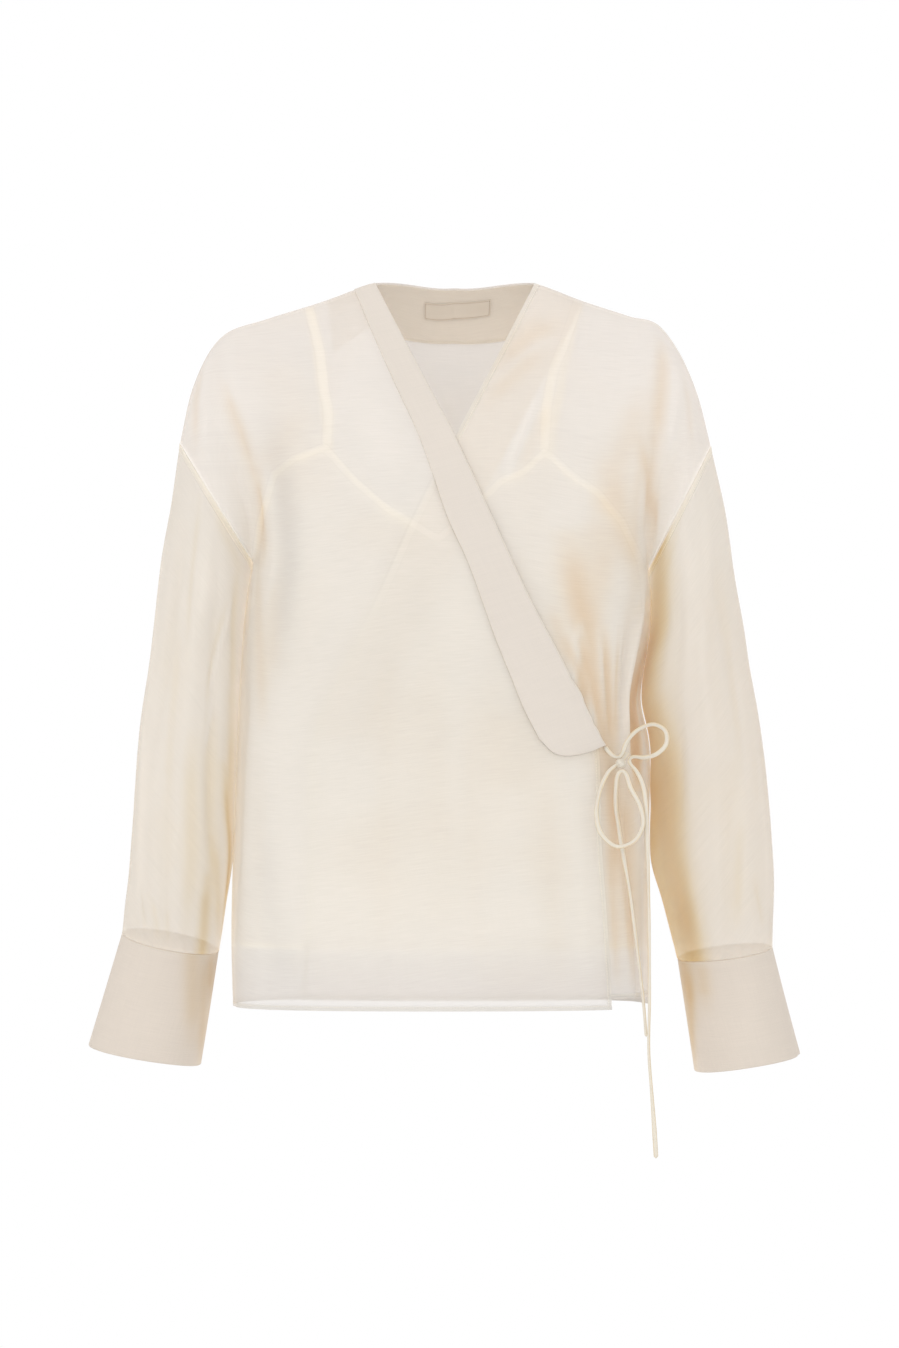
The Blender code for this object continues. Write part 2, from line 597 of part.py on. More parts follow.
def add_back():
    """The back, with the facing inside its neckline and the bare label on that."""
    shoulder_run = np.linspace(NECK_SHARE, 1, SHOULDER_CELLS + 1)
    shares = np.concatenate(
        [
            -shoulder_run[::-1],
            np.linspace(-NECK_SHARE, LABEL_SHARES[0], NECK_SIDE_CELLS + 1)[1:-1],
            np.linspace(*LABEL_SHARES, LABEL_CELLS + 1),
            np.linspace(LABEL_SHARES[1], NECK_SHARE, NECK_SIDE_CELLS + 1)[1:-1],
            shoulder_run,
        ]
    )
    s, v = np.meshgrid(shares, levels(BACK_HEM_RISE))
    body_panel("back", BACK, s, v, np.zeros(s.shape))

    columns = np.abs(shares) < BACK_FACING_SHARE
    rows = (v[:, 0] > 1e-6) & (v[:, 0] < BACK_FACING_LEVEL + 1e-6)
    sheet("back_facing", BACK, s[rows][:, columns], v[rows][:, columns], INSIDE_CLOTH, FACING_CLOTH, "facing")

    columns = (shares > LABEL_SHARES[0] - 1e-6) & (shares < LABEL_SHARES[1] + 1e-6)
    rows = (v[:, 0] > LABEL_LEVELS[0] - 1e-6) & (v[:, 0] < LABEL_LEVELS[1] + 1e-6)
    sheet("label", BACK, s[rows][:, columns], v[rows][:, columns], INSIDE_FACING, LABEL_CLOTH, "label")


def sleeve_values(rows, share):
    columns = named(SLEEVE_COLUMNS, rows)
    return {name: curve(columns["share"], columns[name], share) for name in SLEEVE_COLUMNS[1:]}


def oval(side, values, turn):
    """A point of a sleeve's section: turn runs from 0 at the outer edge over the front to 1 and back to 2."""
    turn = np.mod(turn, 2)
    t = np.where(turn > 1, 2 - turn, turn)
    front = np.where(turn > 1, -1.0, 1.0)
    inwards = t * t * (3 - 2 * t)
    out = values["out"] + (values["in"] - values["out"]) * inwards
    drop = values["out_drop"] + (values["in_drop"] - values["out_drop"]) * inwards
    bulge = values["reach_out"] * t * (1 - t) ** 2 + values["reach_in"] * t**2 * (1 - t)
    hang = 4 * t * (1 - t) * front * values["hang"]
    return stack(side * out, values["middle_y"] - front * bulge, -drop - hang)


def plain_sleeve(side, share, turn):
    return oval(side, sleeve_values(SLEEVES[side], share), turn)


def tube_normals(surface, side, share, turn, step=2e-3):
    along = surface(side, np.minimum(share + step, 1), turn) - surface(side, np.maximum(share - step, 0), turn)
    around = surface(side, share, turn + step) - surface(side, share, turn - step)
    return unit(side * np.cross(around, along))


def sleeve(side, share, turn):
    """The sleeve with its folds."""
    share, turn = np.broadcast_arrays(share, turn)
    wrapped = np.mod(turn + 1, 2) - 1
    height = fold_height(SLEEVE_FOLDS, SLEEVE_AROUND * wrapped, SLEEVE_ALONG * share)
    height = height * smooth(share / FOLDS_FROM_ARMHOLE) * smooth((1 - share) / FOLDS_FROM_CUFF)
    out = tube_normals(plain_sleeve, side, share, turn)
    return plain_sleeve(side, share, turn) + out * height[..., None]


def in_ring_plane(rings, row, vectors):
    """Turns a row's offsets into its ring's own plane, keeping their length."""
    ring_points = rings[row]
    quarter = len(ring_points) // 4
    plane = unit(np.cross(ring_points[0] - ring_points[2 * quarter], ring_points[quarter] - ring_points[3 * quarter]))
    length = np.linalg.norm(vectors[row], axis=-1, keepdims=True)
    flat = vectors[row] - (vectors[row] @ plane)[:, None] * plane
    vectors[row] = unit(flat) * length


def cuff(side, share, turn):
    """The cuff runs straight from the sleeve's end to its own."""
    top = sleeve_values(SLEEVES[side], np.ones(1))
    bottom = dict(zip(SLEEVE_COLUMNS[1:], CUFF_ENDS[side]))
    return oval(side, {key: top[key] + (bottom[key] - top[key]) * share for key in bottom}, turn)


SLEEVE_ROWS, SLEEVE_COLUMNS_AROUND, CUFF_ROWS = 15, 24, 3


def add_sleeves():
    turn = 2 * np.arange(SLEEVE_COLUMNS_AROUND) / SLEEVE_COLUMNS_AROUND
    for side, name in ((RIGHT, "right"), (LEFT, "left")):
        share, turns = np.meshgrid(np.linspace(0, 1, SLEEVE_ROWS + 1), turn, indexing="ij")
        outer = sleeve(side, share, turns)
        inwards = -tube_normals(sleeve, side, share, turns) * CLOTH
        in_ring_plane(outer, 0, inwards)
        in_ring_plane(outer, -1, inwards)
        outer[0] -= armhole_plane(side) * ARMHOLE_SEAM / 2
        wall("sleeve_" + name, outer, outer + inwards, "cloth", around=True)

        share, turns = np.meshgrid(np.linspace(0, 1, CUFF_ROWS + 1), turn, indexing="ij")
        outer = cuff(side, share, turns)
        inwards = -tube_normals(cuff, side, share, turns) * CUFF_CLOTH
        in_ring_plane(outer, 0, inwards)
        down = unit(outer[-1].mean(axis=0) - outer[0].mean(axis=0))
        outer[0] += down * SEAM
        wall("cuff_" + name, outer, outer + inwards, "cuff", around=True)


LINING_ROWS, LINING_BACK_COLUMNS, STRAP_STEPS = 9, 12, 3


def lining_cloth(face, s, v, offset):
    """The lining follows the back's folds. On the front it hangs plainly, but for where the tie pulls the cloth in."""
    if face == BACK:
        return cloth(BACK, s, v) + cloth_normals(BACK, s, v) * offset
    offset = offset + fold_height([LINING_PULL], 200 * s, cloth_down(v))
    return plain_cloth(FRONT, s, v) + normals(lambda a, b: plain_cloth(FRONT, a, b), s, v) * offset[..., None]


def add_lining():
    """A strappy lining: a tube hung inside the body, below a V at the front and a low line at the back."""
    front_s, front_v = find_on_cloth(FRONT, LINING_LINE["across"], LINING_LINE["drop"])
    front_s[0], front_s[-1] = RIGHT, LEFT
    side_v = 1 + (LINING_LINE["drop"][[0, -1]] - UNDERARM_DROP) / (HEM_DROP - UNDERARM_DROP)
    front_v[0], front_v[-1] = side_v
    back_s = np.linspace(LEFT, RIGHT, LINING_BACK_COLUMNS + 2)[1:-1]
    back_top = LINING_BACK_TOP + (LINING_LINE["drop"][0] - LINING_BACK_TOP) * np.abs(back_s) ** 3

    def past(v):
        return -cloth(BACK, back_s, v)[..., 2] > back_top

    back_v = bisect(np.zeros(len(back_s)), np.full(len(back_s), 1.9), past)
    hem_v = 1 + (LINING_HEM - UNDERARM_DROP) / (HEM_DROP - UNDERARM_DROP)
    share = np.linspace(0, 1, LINING_ROWS + 1)[:, None]
    layers = []
    for offset in (INSIDE_LINING, INSIDE_LINING - LINING_CLOTH):
        parts = []
        for face, s, top in ((FRONT, front_s, front_v), (BACK, back_s, back_v)):
            v = top + (hem_v - top) * share
            s = np.broadcast_to(s, v.shape)
            parts.append(lining_cloth(face, s, v, offset))
        layers.append(np.concatenate(parts, axis=1))
    wall("lining", *layers, "lining", around=True)


def add_straps():
    for name, (face, top_offset, route) in STRAPS.items():
        columns = named(STRAP_COLUMNS, route)
        knots = np.arange(len(route))
        t = np.linspace(0, len(route) - 1, STRAP_STEPS * (len(route) - 1) + 1)
        s, v = (curve(knots, columns[key], t)[:, None] for key in STRAP_COLUMNS)
        step = 1e-3
        per_share = np.linalg.norm(cloth(face, s + step, v) - cloth(face, s, v), axis=-1) / step
        s = s + STRAP_WIDTH / per_share * np.array([-0.5, 0.5])
        offset = INSIDE_LINING + (top_offset - INSIDE_LINING) * (t[:, None] / t[-1]) ** 2
        sheet(name, face, s, np.broadcast_to(v, s.shape), offset, LINING_CLOTH, "lining")


def smooth_route(points, step):
    """Points about a step apart on a smooth curve through a route's own points, with short first and last steps."""
    points = np.array(points, float)
    along = np.concatenate([[0], np.cumsum(np.linalg.norm(np.diff(points, axis=0), axis=1))])
    first, last = TIE_END_STEP, along[-1] - TIE_END_STEP
    t = np.linspace(first, last, max(1, round((last - first) / step)) + 1)
    t = np.concatenate([[0], t, [along[-1]]])
    return np.stack([curve(along, points[:, i], t) for i in range(3)], axis=1)


def add_ties():
    for name, route in TIES.items():
        route = smooth_route(route, TAIL_STEP if name.endswith("tail") else TIE_STEP)
        data = bpy.data.curves.new(name, "CURVE")
        data.dimensions = "3D"
        data.bevel_depth = TIE_RADIUS * MM
        data.bevel_resolution = 2
        data.use_fill_caps = True
        line = data.splines.new("POLY")
        line.points.add(len(route) - 1)
        for point, place in zip(line.points, route):
            point.co = (*(place * MM), 1)
        add_object(name, data, "tie")

    mesh = bpy.data.meshes.new("bow_knot")
    shape = bmesh.new()
    bmesh.ops.create_uvsphere(shape, u_segments=KNOT_SEGMENTS, v_segments=KNOT_RINGS, radius=0.5 * MM)
    bmesh.ops.scale(shape, vec=KNOT_SIZE, verts=shape.verts)
    bmesh.ops.translate(shape, vec=np.array(KNOT_CENTRE) * MM, verts=shape.verts)
    shape.to_mesh(mesh)
    shape.free()
    mesh.shade_smooth()
    add_object("bow_knot", mesh, "tie")


for old in list(bpy.data.objects):
    bpy.data.objects.remove(old, do_unlink=True)
add_back()
add_right_front()
add_left_front()
add_sleeves()
add_lining()
add_straps()
add_ties()
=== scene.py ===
"""The looks of the wrap top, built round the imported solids: thin shells of sheer cloth on the solids' own
surfaces, with hems, seams, stitches and creases, then the ribbon ties, the studio floor and light, and the
camera.

The wearer faces -Y, so the wearer's right side is at -X. Tables and sizes are in millimetres unless a name
says otherwise, and each mesh is scaled to metres.

The body's cloth is one surface with two faces, front and back. A point on it has a share s, from -1 at the
wearer's right side to 1 at the left, and a level v: 0 on the shoulder line, 1 at the underarm, 2 at the hem.
Each piece is a thin shell between two offsets from that surface."""

import math

import bpy
import numpy as np
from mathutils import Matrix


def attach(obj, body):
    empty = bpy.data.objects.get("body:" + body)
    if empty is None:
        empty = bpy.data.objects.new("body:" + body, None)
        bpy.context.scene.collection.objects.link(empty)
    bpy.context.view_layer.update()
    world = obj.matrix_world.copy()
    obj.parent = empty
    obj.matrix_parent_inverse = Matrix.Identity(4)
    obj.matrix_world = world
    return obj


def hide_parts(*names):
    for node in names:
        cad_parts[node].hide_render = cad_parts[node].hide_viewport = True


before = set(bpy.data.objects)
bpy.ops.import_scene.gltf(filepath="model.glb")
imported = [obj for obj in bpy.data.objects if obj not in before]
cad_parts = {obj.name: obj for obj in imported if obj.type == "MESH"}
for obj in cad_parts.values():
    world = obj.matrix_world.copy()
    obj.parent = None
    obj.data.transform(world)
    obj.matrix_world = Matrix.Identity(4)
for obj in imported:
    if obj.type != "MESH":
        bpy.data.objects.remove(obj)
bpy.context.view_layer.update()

MM = 0.001
SEAM = 0.3  # gap between pieces that are sewn together
ARMHOLE_SEAM = 0.6
CLOTH = 1.0  # wall of the outer cloth
FACING_CLOTH = 0.8
LINING_CLOTH = 0.9
BAND_CLOTH = 1.6  # the band and the cuffs are two layers
CUFF_CLOTH = 1.8

INSIDE_CLOTH = -(CLOTH + SEAM)
INSIDE_FACING = INSIDE_CLOTH - FACING_CLOTH - SEAM
INSIDE_LINING = -5.0  # the lining hangs free inside the outer cloth

FRONT, BACK = -1, 1
RIGHT, LEFT = -1, 1

# The shoulder line, from the middle of the neck to the top of the armhole. out and drop are measured from the
# origin, on the wearer's right and left. A fall is the slope in degrees with which the cloth leaves the line
# on that face, and a reach is how far it keeps that slope.
NECK_SHARE = 0.3
SHOULDER_COLUMNS = (
    "share", "right_out", "right_drop", "left_out", "left_drop", "front_fall", "front_reach", "back_fall",
    "back_reach",
)
SHOULDER = (
    (0.00, -7.0, 0.0, 7.0, 0.0, 46, 200, -17, 300),
    (0.30, 63.4, 0.0, 77.4, 0.0, 42, 200, -6, 290),
    (0.45, 112.0, 17.0, 119.0, 15.5, 33, 200, 2, 270),
    (0.60, 160.0, 32.0, 160.0, 29.0, 24, 200, 5, 255),
    (0.72, 194.5, 44.4, 188.0, 38.5, 17, 210, 5, 250),
    (0.80, 209.5, 61.0, 205.5, 63.0, 11, 230, 5, 255),
    (0.88, 223.0, 90.0, 219.0, 94.0, 6, 255, 4, 270),
    (1.00, 235.0, 141.0, 232.0, 143.4, 0, 300, 0, 300),
)
RIDGE_Y = 6.0  # the shoulder seam at the neck lies this far behind the armhole's top
# The back's neckline, at its middle, lies this share down the curve from the shoulder line.
BACK_NECK_CUT = 0.2
SETTLE = 200.0  # how firmly the cloth hangs straight at the underarm level
ARMHOLE_SETTLE = 190.0
ARMHOLE_SHARE = 0.86  # beyond this share the cloth turns into the armhole

# The body below the underarm: half widths on the two sides and depths before and behind the side seams.
UNDERARM_DROP = 249.0
UNDERARM_SKEW = 3.0
HEM_DROP = 636.0
TORSO_COLUMNS = ("drop", "right_half", "left_half", "front", "back")
TORSO = (
    (240, 170.3, 177.0, 118, 106),
    (323, 177.0, 178.0, 118, 102),
    (411, 182.0, 176.0, 117, 100),
    (499, 185.0, 174.5, 117, 103),
    (578, 186.5, 174.0, 118, 107),
    (640, 185.0, 174.0, 119, 110),
)
RING_POWER = {FRONT: 2.6, BACK: 2.4}
RING_SPREAD = 1.4

# Folds of the cloth, each from one point to another, with its half width and its height, below 0 for a
# trough. On the body a fold's places are across (share x 200) and down (along the cloth).
FOLD_COLUMNS = ("across_a", "down_a", "across_b", "down_b", "width", "height", "tone")
BODY_FOLDS = {
    FRONT: (
        (186, 282, 163, 420, 8, -13.0),
        (174, 262, 149, 420, 7, 4.0),
        (151, 300, 148, 415, 6, -5.0),
        (150, 445, 176, 640, 7, -5.0),
        (138, 470, 160, 640, 8, 3.0),
        (-160, 100, -172, 235, 13, -3.5),
        (160, 105, 172, 235, 13, -3.5),
        (-182, 330, -188, 560, 10, -3.0),
        (62, 40, 30, 95, 9, -2.0),
    ),
    BACK: (
        (-160, 110, -150, 300, 14, -5.0),
        (162, 105, 148, 310, 14, -5.0),
        (-70, 330, -84, 640, 16, 4.0),
        (60, 300, 76, 640, 16, 4.0),
        (-10, 380, 0, 640, 16, -4.0),
        (150, 420, 166, 640, 12, 4.0),
    ),
}
# Finer creases of the same kind, beside the folds that the solids have. Tone is a golden shade painted on the
# sheer cloth in a hollow, and below 0 a painted highlight.
CREASES = {
    FRONT: (
        (-155, 80, -157, 161, 6.2, -1.5, 0.4), (-157, 161, -165, 247, 6.2, -1.5, 0.4),
        (-137, 138, -119, 231, 19.4, 0, 0.05), (-173, 247, -149, 386, 7.9, -0.8, 0.35),
        (-145, 255, -142, 351, 10.6, 0, 0.2), (-147, 421, -146, 610, 10.6, 0, 0.08),
        (-117, 66, -109, 140, 17.6, 0, 0.1), (-77, 49, -74, 129, 15.8, 0, -0.2),
        (-66, 115, -45, 168, 14.1, 0, -0.3), (-169, 22, -189, 68, 5.3, -1, 0.3),
        (-157, 12, -185, 98, 4.4, 1, -0.15), (-144, 20, -152, 115, 4.4, 0.8, -0.12),
        (-87, 368, -90, 541, 26.4, 0, 0.08), (-23, 324, -9, 506, 35.2, 0, 0.1),
        (71, 479, 79, 565, 26.4, 0, 0.08), (42, 366, 55, 453, 22.9, 0, 0.15),
        (74, 43, 36, 85, 7.9, -1.5, 0.28), (67, 73, 28, 115, 7, -1.2, 0.24),
        (71, 61, 32, 101, 4.4, 1, -0.15), (147, 33, 158, 129, 6.2, -2.5, 0.55),
        (158, 129, 193, 250, 6.2, -2, 0.6), (157, 34, 172, 125, 5.3, 1.5, -0.2),
        (167, 38, 185, 79, 5.3, -1, 0.2), (137, 104, 129, 163, 12.3, -1, 0.3),
        (130, 150, 116, 205, 18, -1, 0.2), (147, 152, 159, 241, 7, 0, 0.25),
        (118, 200, 103, 279, 18, -0.8, 0.25), (129, 222, 109, 314, 10.6, 0, 0.28),
        (101, 173, 85, 243, 15.8, 0, -0.15), (96, 357, 98, 314, 3.5, 1.4, -0.3),
        (98, 314, 101, 298, 3.5, 1.4, -0.3), (101, 298, 107, 323, 3.5, 1.4, -0.3),
        (107, 323, 115, 400, 3.5, 1.4, -0.3), (103, 326, 106, 383, 4.4, -1.5, 0.5),
        (118, 321, 122, 408, 2.6, 1.5, -0.3), (125, 314, 131, 405, 5, -2.5, 0.5),
        (137, 321, 138, 400, 3.5, -1, 0.45), (164, 277, 148, 400, 5.3, 1.5, -0.3),
        (137, 444, 157, 615, 3.5, -1.5, 0.5), (154, 453, 178, 611, 2.6, 1, -0.2),
        (131, 497, 141, 614, 3.5, -0.8, 0.35), (173, 497, 185, 611, 2.6, -0.5, 0.3),
        (89, 223, 137, 462, 11.4, 0, 0.95), (103, 317, 126, 408, 4, -1.2, 0.55),
        (123, 304, 134, 410, 3.5, -1.2, 0.55), (93, 304, 119, 399, 3.5, 1.2, -0.4),
        (115, 304, 129, 403, 3.1, 1, -0.35), (179, 312, 143, 408, 3.5, 1, -0.3),
        (138, 304, 137, 409, 3.1, -0.8, 0.35), (193, 312, 171, 408, 5.3, 0, 0.7),
        (133, 422, 137, 522, 7, 0, 0.8), (161, 396, 176, 453, 8.8, 0, 1),
        (79, 288, 90, 330, 5.3, 0, 0.4), (197, 324, 161, 444, 6.2, 0, 2.2),
        (90, 314, 111, 370, 4.4, 0, 0.7), (120, 164, 159, 252, 12.3, 0, 0.55),
        (143, 137, 189, 201, 6.2, 0, 0.6), (150, 435, 166, 600, 12, 0, 1.2),
        (134, 430, 140, 600, 8, 0, 0.45), (64, 111, 43, 169, 3.1, 1.2, -0.4),
        (73, 115, 53, 169, 5.3, -1, 0.2), (-107, 124, -144, 163, 10, 0, 0.14),
        (-148, 163, -179, 246, 4.4, -1.2, 0.3), (-138, 164, -151, 281, 4.4, 0.8, -0.2),
        (-75, 298, -83, 541, 17.6, 0.6, -0.06), (-17, 245, 5, 539, 14.1, -0.5, 0.05),
        (44, 297, 61, 574, 12.3, 0.5, -0.06), (20, 366, 31, 609, 7, -0.5, 0.05),
        (-45, 315, -43, 609, 7.9, -0.5, 0.05), (77, 418, 90, 618, 7.9, -0.6, 0.07),
        (100, 427, 112, 623, 5.3, 0.6, -0.08),
    ),
    BACK: (
        (-160, 70, -158, 190, 6, -1.4, 0.35), (-150, 190, -166, 260, 8, -1.2, 0.35),
        (150, 60, 160, 180, 6, -1.5, 0.35), (158, 180, 176, 260, 8, -1.2, 0.35),
        (-120, 120, -96, 300, 16, 0, 0.2), (118, 130, 98, 320, 16, 0, 0.2),
        (-172, 250, -160, 560, 8, -0.8, 0.3), (172, 250, 160, 560, 8, -0.8, 0.3),
        (-40, 200, -52, 420, 14, 1.2, -0.15), (34, 220, 46, 430, 14, 1.2, -0.15),
        (-4, 110, 2, 330, 10, -0.8, 0.12), (-104, 380, -116, 620, 7, -1.6, 0.3),
        (110, 360, 124, 620, 7, -1.6, 0.3), (-48, 420, -56, 620, 6, -1.2, 0.22),
        (30, 440, 34, 620, 6, -1.2, 0.22), (62, 60, 112, 110, 8, -1, 0.15),
        (-58, 62, -104, 118, 8, -1, 0.15),
    ),
}
# Painted shade that a fold without a tone of its own gets from its depth.
PAINTED_SHADE_PER_MM = 0.03  # the tone of a fold that has none of its own, for each millimetre of its depth
# Painted highlight on the left front where the right one covers it.
COVERED_HIGHLIGHT = -0.45  # the left front where the right one covers it
PULL_IN, PULL_DROP, PULL_ABOVE, PULL_BELOW = 10.0, 364.0, 50.0, 30.0
PULL_FROM, PULL_TO, PULL_BLUR = 140.0, 186.0, 36.0
NECK_RISE, NECK_RISE_LEVEL = 6.5, 0.45  # the back's neckline hangs a little less than the solid's
FOLD_END = 0.35  # a fold's height at its ends, as a share of its full height
FOLDS_FROM_TOP, FOLDS_FROM_SIDE = 0.12, 0.05  # the folds fade within this level and this share of the seams
UNEVEN, UNEVEN_REACH = 0.7, 38.0  # the cloth's slight unevenness, and the size of its patches
LINING_PULL = (186, 260, 166, 440, 24, -17.0)  # where the tied fronts press the lining in

# The fronts' free edges, from the neck point to the hem: how far across at each drop, from the wearer's right
# to left.
EDGE_COLUMNS = ("drop", "right_front", "left_front")
EDGES = (
    (0, -63.4, 77.4),
    (70, -28.0, 42.0),
    (137, 6.5, 7.5),
    (208, 39.0, -28.5),
    (280, 72.5, -61.0),
    (341, 104.0, -92.0),
    (392, 128.5, -115.0),
    (404, 130.2, -117.0),
    (486, 133.0, -119.0),
    (572, 139.0, -123.0),
    (640, 142.6, -127.0),
)
LEFT_HEM_RISE = 9.0  # the left front, the under one, is this much shorter
BACK_HEM_RISE = 2.0
OVERLAP_LIFT = CLOTH + 0.6  # the right front lies on the left one
# It starts to rise this far before the left front's edge, over this width.
OVERLAP_START, OVERLAP_RISE = 36.0, 32.0

# The band on the right front: its outer edge at each drop. Below the band the line only places the front's
# columns.
BAND_COLUMNS = ("drop", "across")
BAND = (
    (0, -84.0), (6, -81.4), (47, -64.6), (100, -41.2), (133, -26.0), (164, -14.7), (212, 1.8), (245, 17.1),
    (283, 31.2), (317, 43.3), (347, 55.4), (377, 67.5), (400, 80.0), (420, 90.0), (640, 100.0),
)
# The band's rounded lower end, by its last rows: the drop on the neck edge, and the point on the outer edge.
# The neck edge runs straight to the band's corner, past the front's own edge.
BAND_CORNER = (136.0, 406.0)
BAND_END_COLUMNS = ("inner_drop", "outer_across", "outer_drop")
BAND_END = ((387, 79.3, 400), (396, 91.4, 412), (402, 104.8, 415), (405, 121.4, 412), (405.9, 131, 408))
BAND_LEVEL = 1.34  # the last level above the rounded end

FRONT_FACING_WIDTH = 50.0  # across, which is 46 square to the neck edge
FRONT_FACING_LEVEL = 1.39
BACK_FACING_LEVEL, BACK_FACING_ENDS = 0.235, 0.35
BACK_FACING_SHARE = 0.43
LABEL_SHARES = (-0.124, 0.147)
LABEL_LEVELS = (0.072, 0.145)
LABEL_TILT, LABEL_BEND = 0.012, 0.0025

# The lining's top edge on the front, from the right side to the left, and its straps up to the shoulder line.
LINING_TOP_COLUMNS = ("across", "drop")
LINING_TOP = (
    (-176, 285), (-167, 215), (-153, 168), (-135, 154), (-106, 143), (-79, 173), (-53, 196), (-8, 224),
    (20, 200), (46, 173), (65, 166), (84, 148), (92, 152), (112, 170), (133, 184), (155, 210), (172, 245),
    (179, 285),
)
LINING_BACK_TOP = 205.0
LINING_HEM = 583.0
# Each strap runs up the inside of its face to the shoulder seam, where its outer side comes out to the offset
# given.
STRAP_WIDTH = 8.0
STRAP_COLUMNS = ("share", "level")
STRAPS = {
    "strap_front_right": (
        FRONT, INSIDE_CLOTH,
        ((-0.456, 0.58), (-0.443, 0.475), (-0.453, 0.397), (-0.455, 0.267), (-0.479, 0.02)),
    ),
    "strap_front_left": (
        FRONT, INSIDE_FACING,
        ((0.349, 0.603), (0.352, 0.471), (0.369, 0.348), (0.399, 0.246), (0.438, 0.02)),
    ),
    "strap_back_right": (
        BACK, INSIDE_CLOTH,
        ((-0.49, 0.856), (-0.478, 0.634), (-0.476, 0.428), (-0.479, 0.02)),
    ),
    "strap_back_left": (
        BACK, INSIDE_FACING - SEAM,
        ((0.386, 0.8335), (0.396, 0.642), (0.416, 0.446), (0.448, 0.02)),
    ),
}

# The sleeves: outer and inner edge of each section seen from the front, how far it bulges before and behind
# near those edges, where its middle lies along Y, and how much its front half hangs. The first section is the
# armhole.
SLEEVE_COLUMNS = (
    "share", "out", "out_drop", "in", "in_drop", "reach_out", "reach_in", "middle_y", "hang",
)
SLEEVES = {
    RIGHT: (
        (0.00, 235.0, 141.0, 170.3, 246.0, 300, 190, 0, 0),
        (0.10, 243.0, 195.0, 176.6, 285.0, 285, 235, 6, 0),
        (0.24, 252.8, 255.0, 180.4, 335.0, 272, 256, 14, 0),
        (0.40, 261.5, 325.0, 183.8, 395.0, 260, 260, 19, 1),
        (0.57, 272.0, 400.0, 186.6, 455.0, 248, 248, 20, 2),
        (0.74, 277.0, 470.0, 188.6, 507.0, 228, 228, 18, 4),
        (0.89, 282.0, 530.0, 195.5, 552.0, 204, 204, 13, 6),
        (1.00, 286.0, 571.0, 201.0, 587.0, 180, 180, 8, 7),
    ),
    LEFT: (
        (0.00, 232.0, 143.4, 177.0, 252.0, 300, 190, 0, 0),
        (0.10, 244.3, 196.0, 180.4, 290.0, 285, 235, 6, 0),
        (0.24, 253.6, 255.0, 181.4, 338.0, 272, 256, 14, 0),
        (0.40, 265.5, 325.0, 180.6, 397.0, 260, 260, 19, 1),
        (0.57, 278.0, 400.0, 179.4, 455.0, 248, 248, 20, 2),
        (0.74, 285.5, 470.0, 179.6, 504.0, 228, 228, 18, 4),
        (0.89, 288.0, 535.0, 191.5, 550.0, 204, 204, 13, 5),
        (1.00, 286.5, 583.5, 203.0, 594.0, 180, 180, 8, 5),
    ),
}
# The cuffs' ends, in the same columns without the share.
CUFF_ENDS = {
    RIGHT: (315.0, 671.0, 215.8, 687.5, 196, 196, 3, 3),
    LEFT: (310.5, 679.0, 217.5, 693.5, 196, 196, 3, 2.5),
}

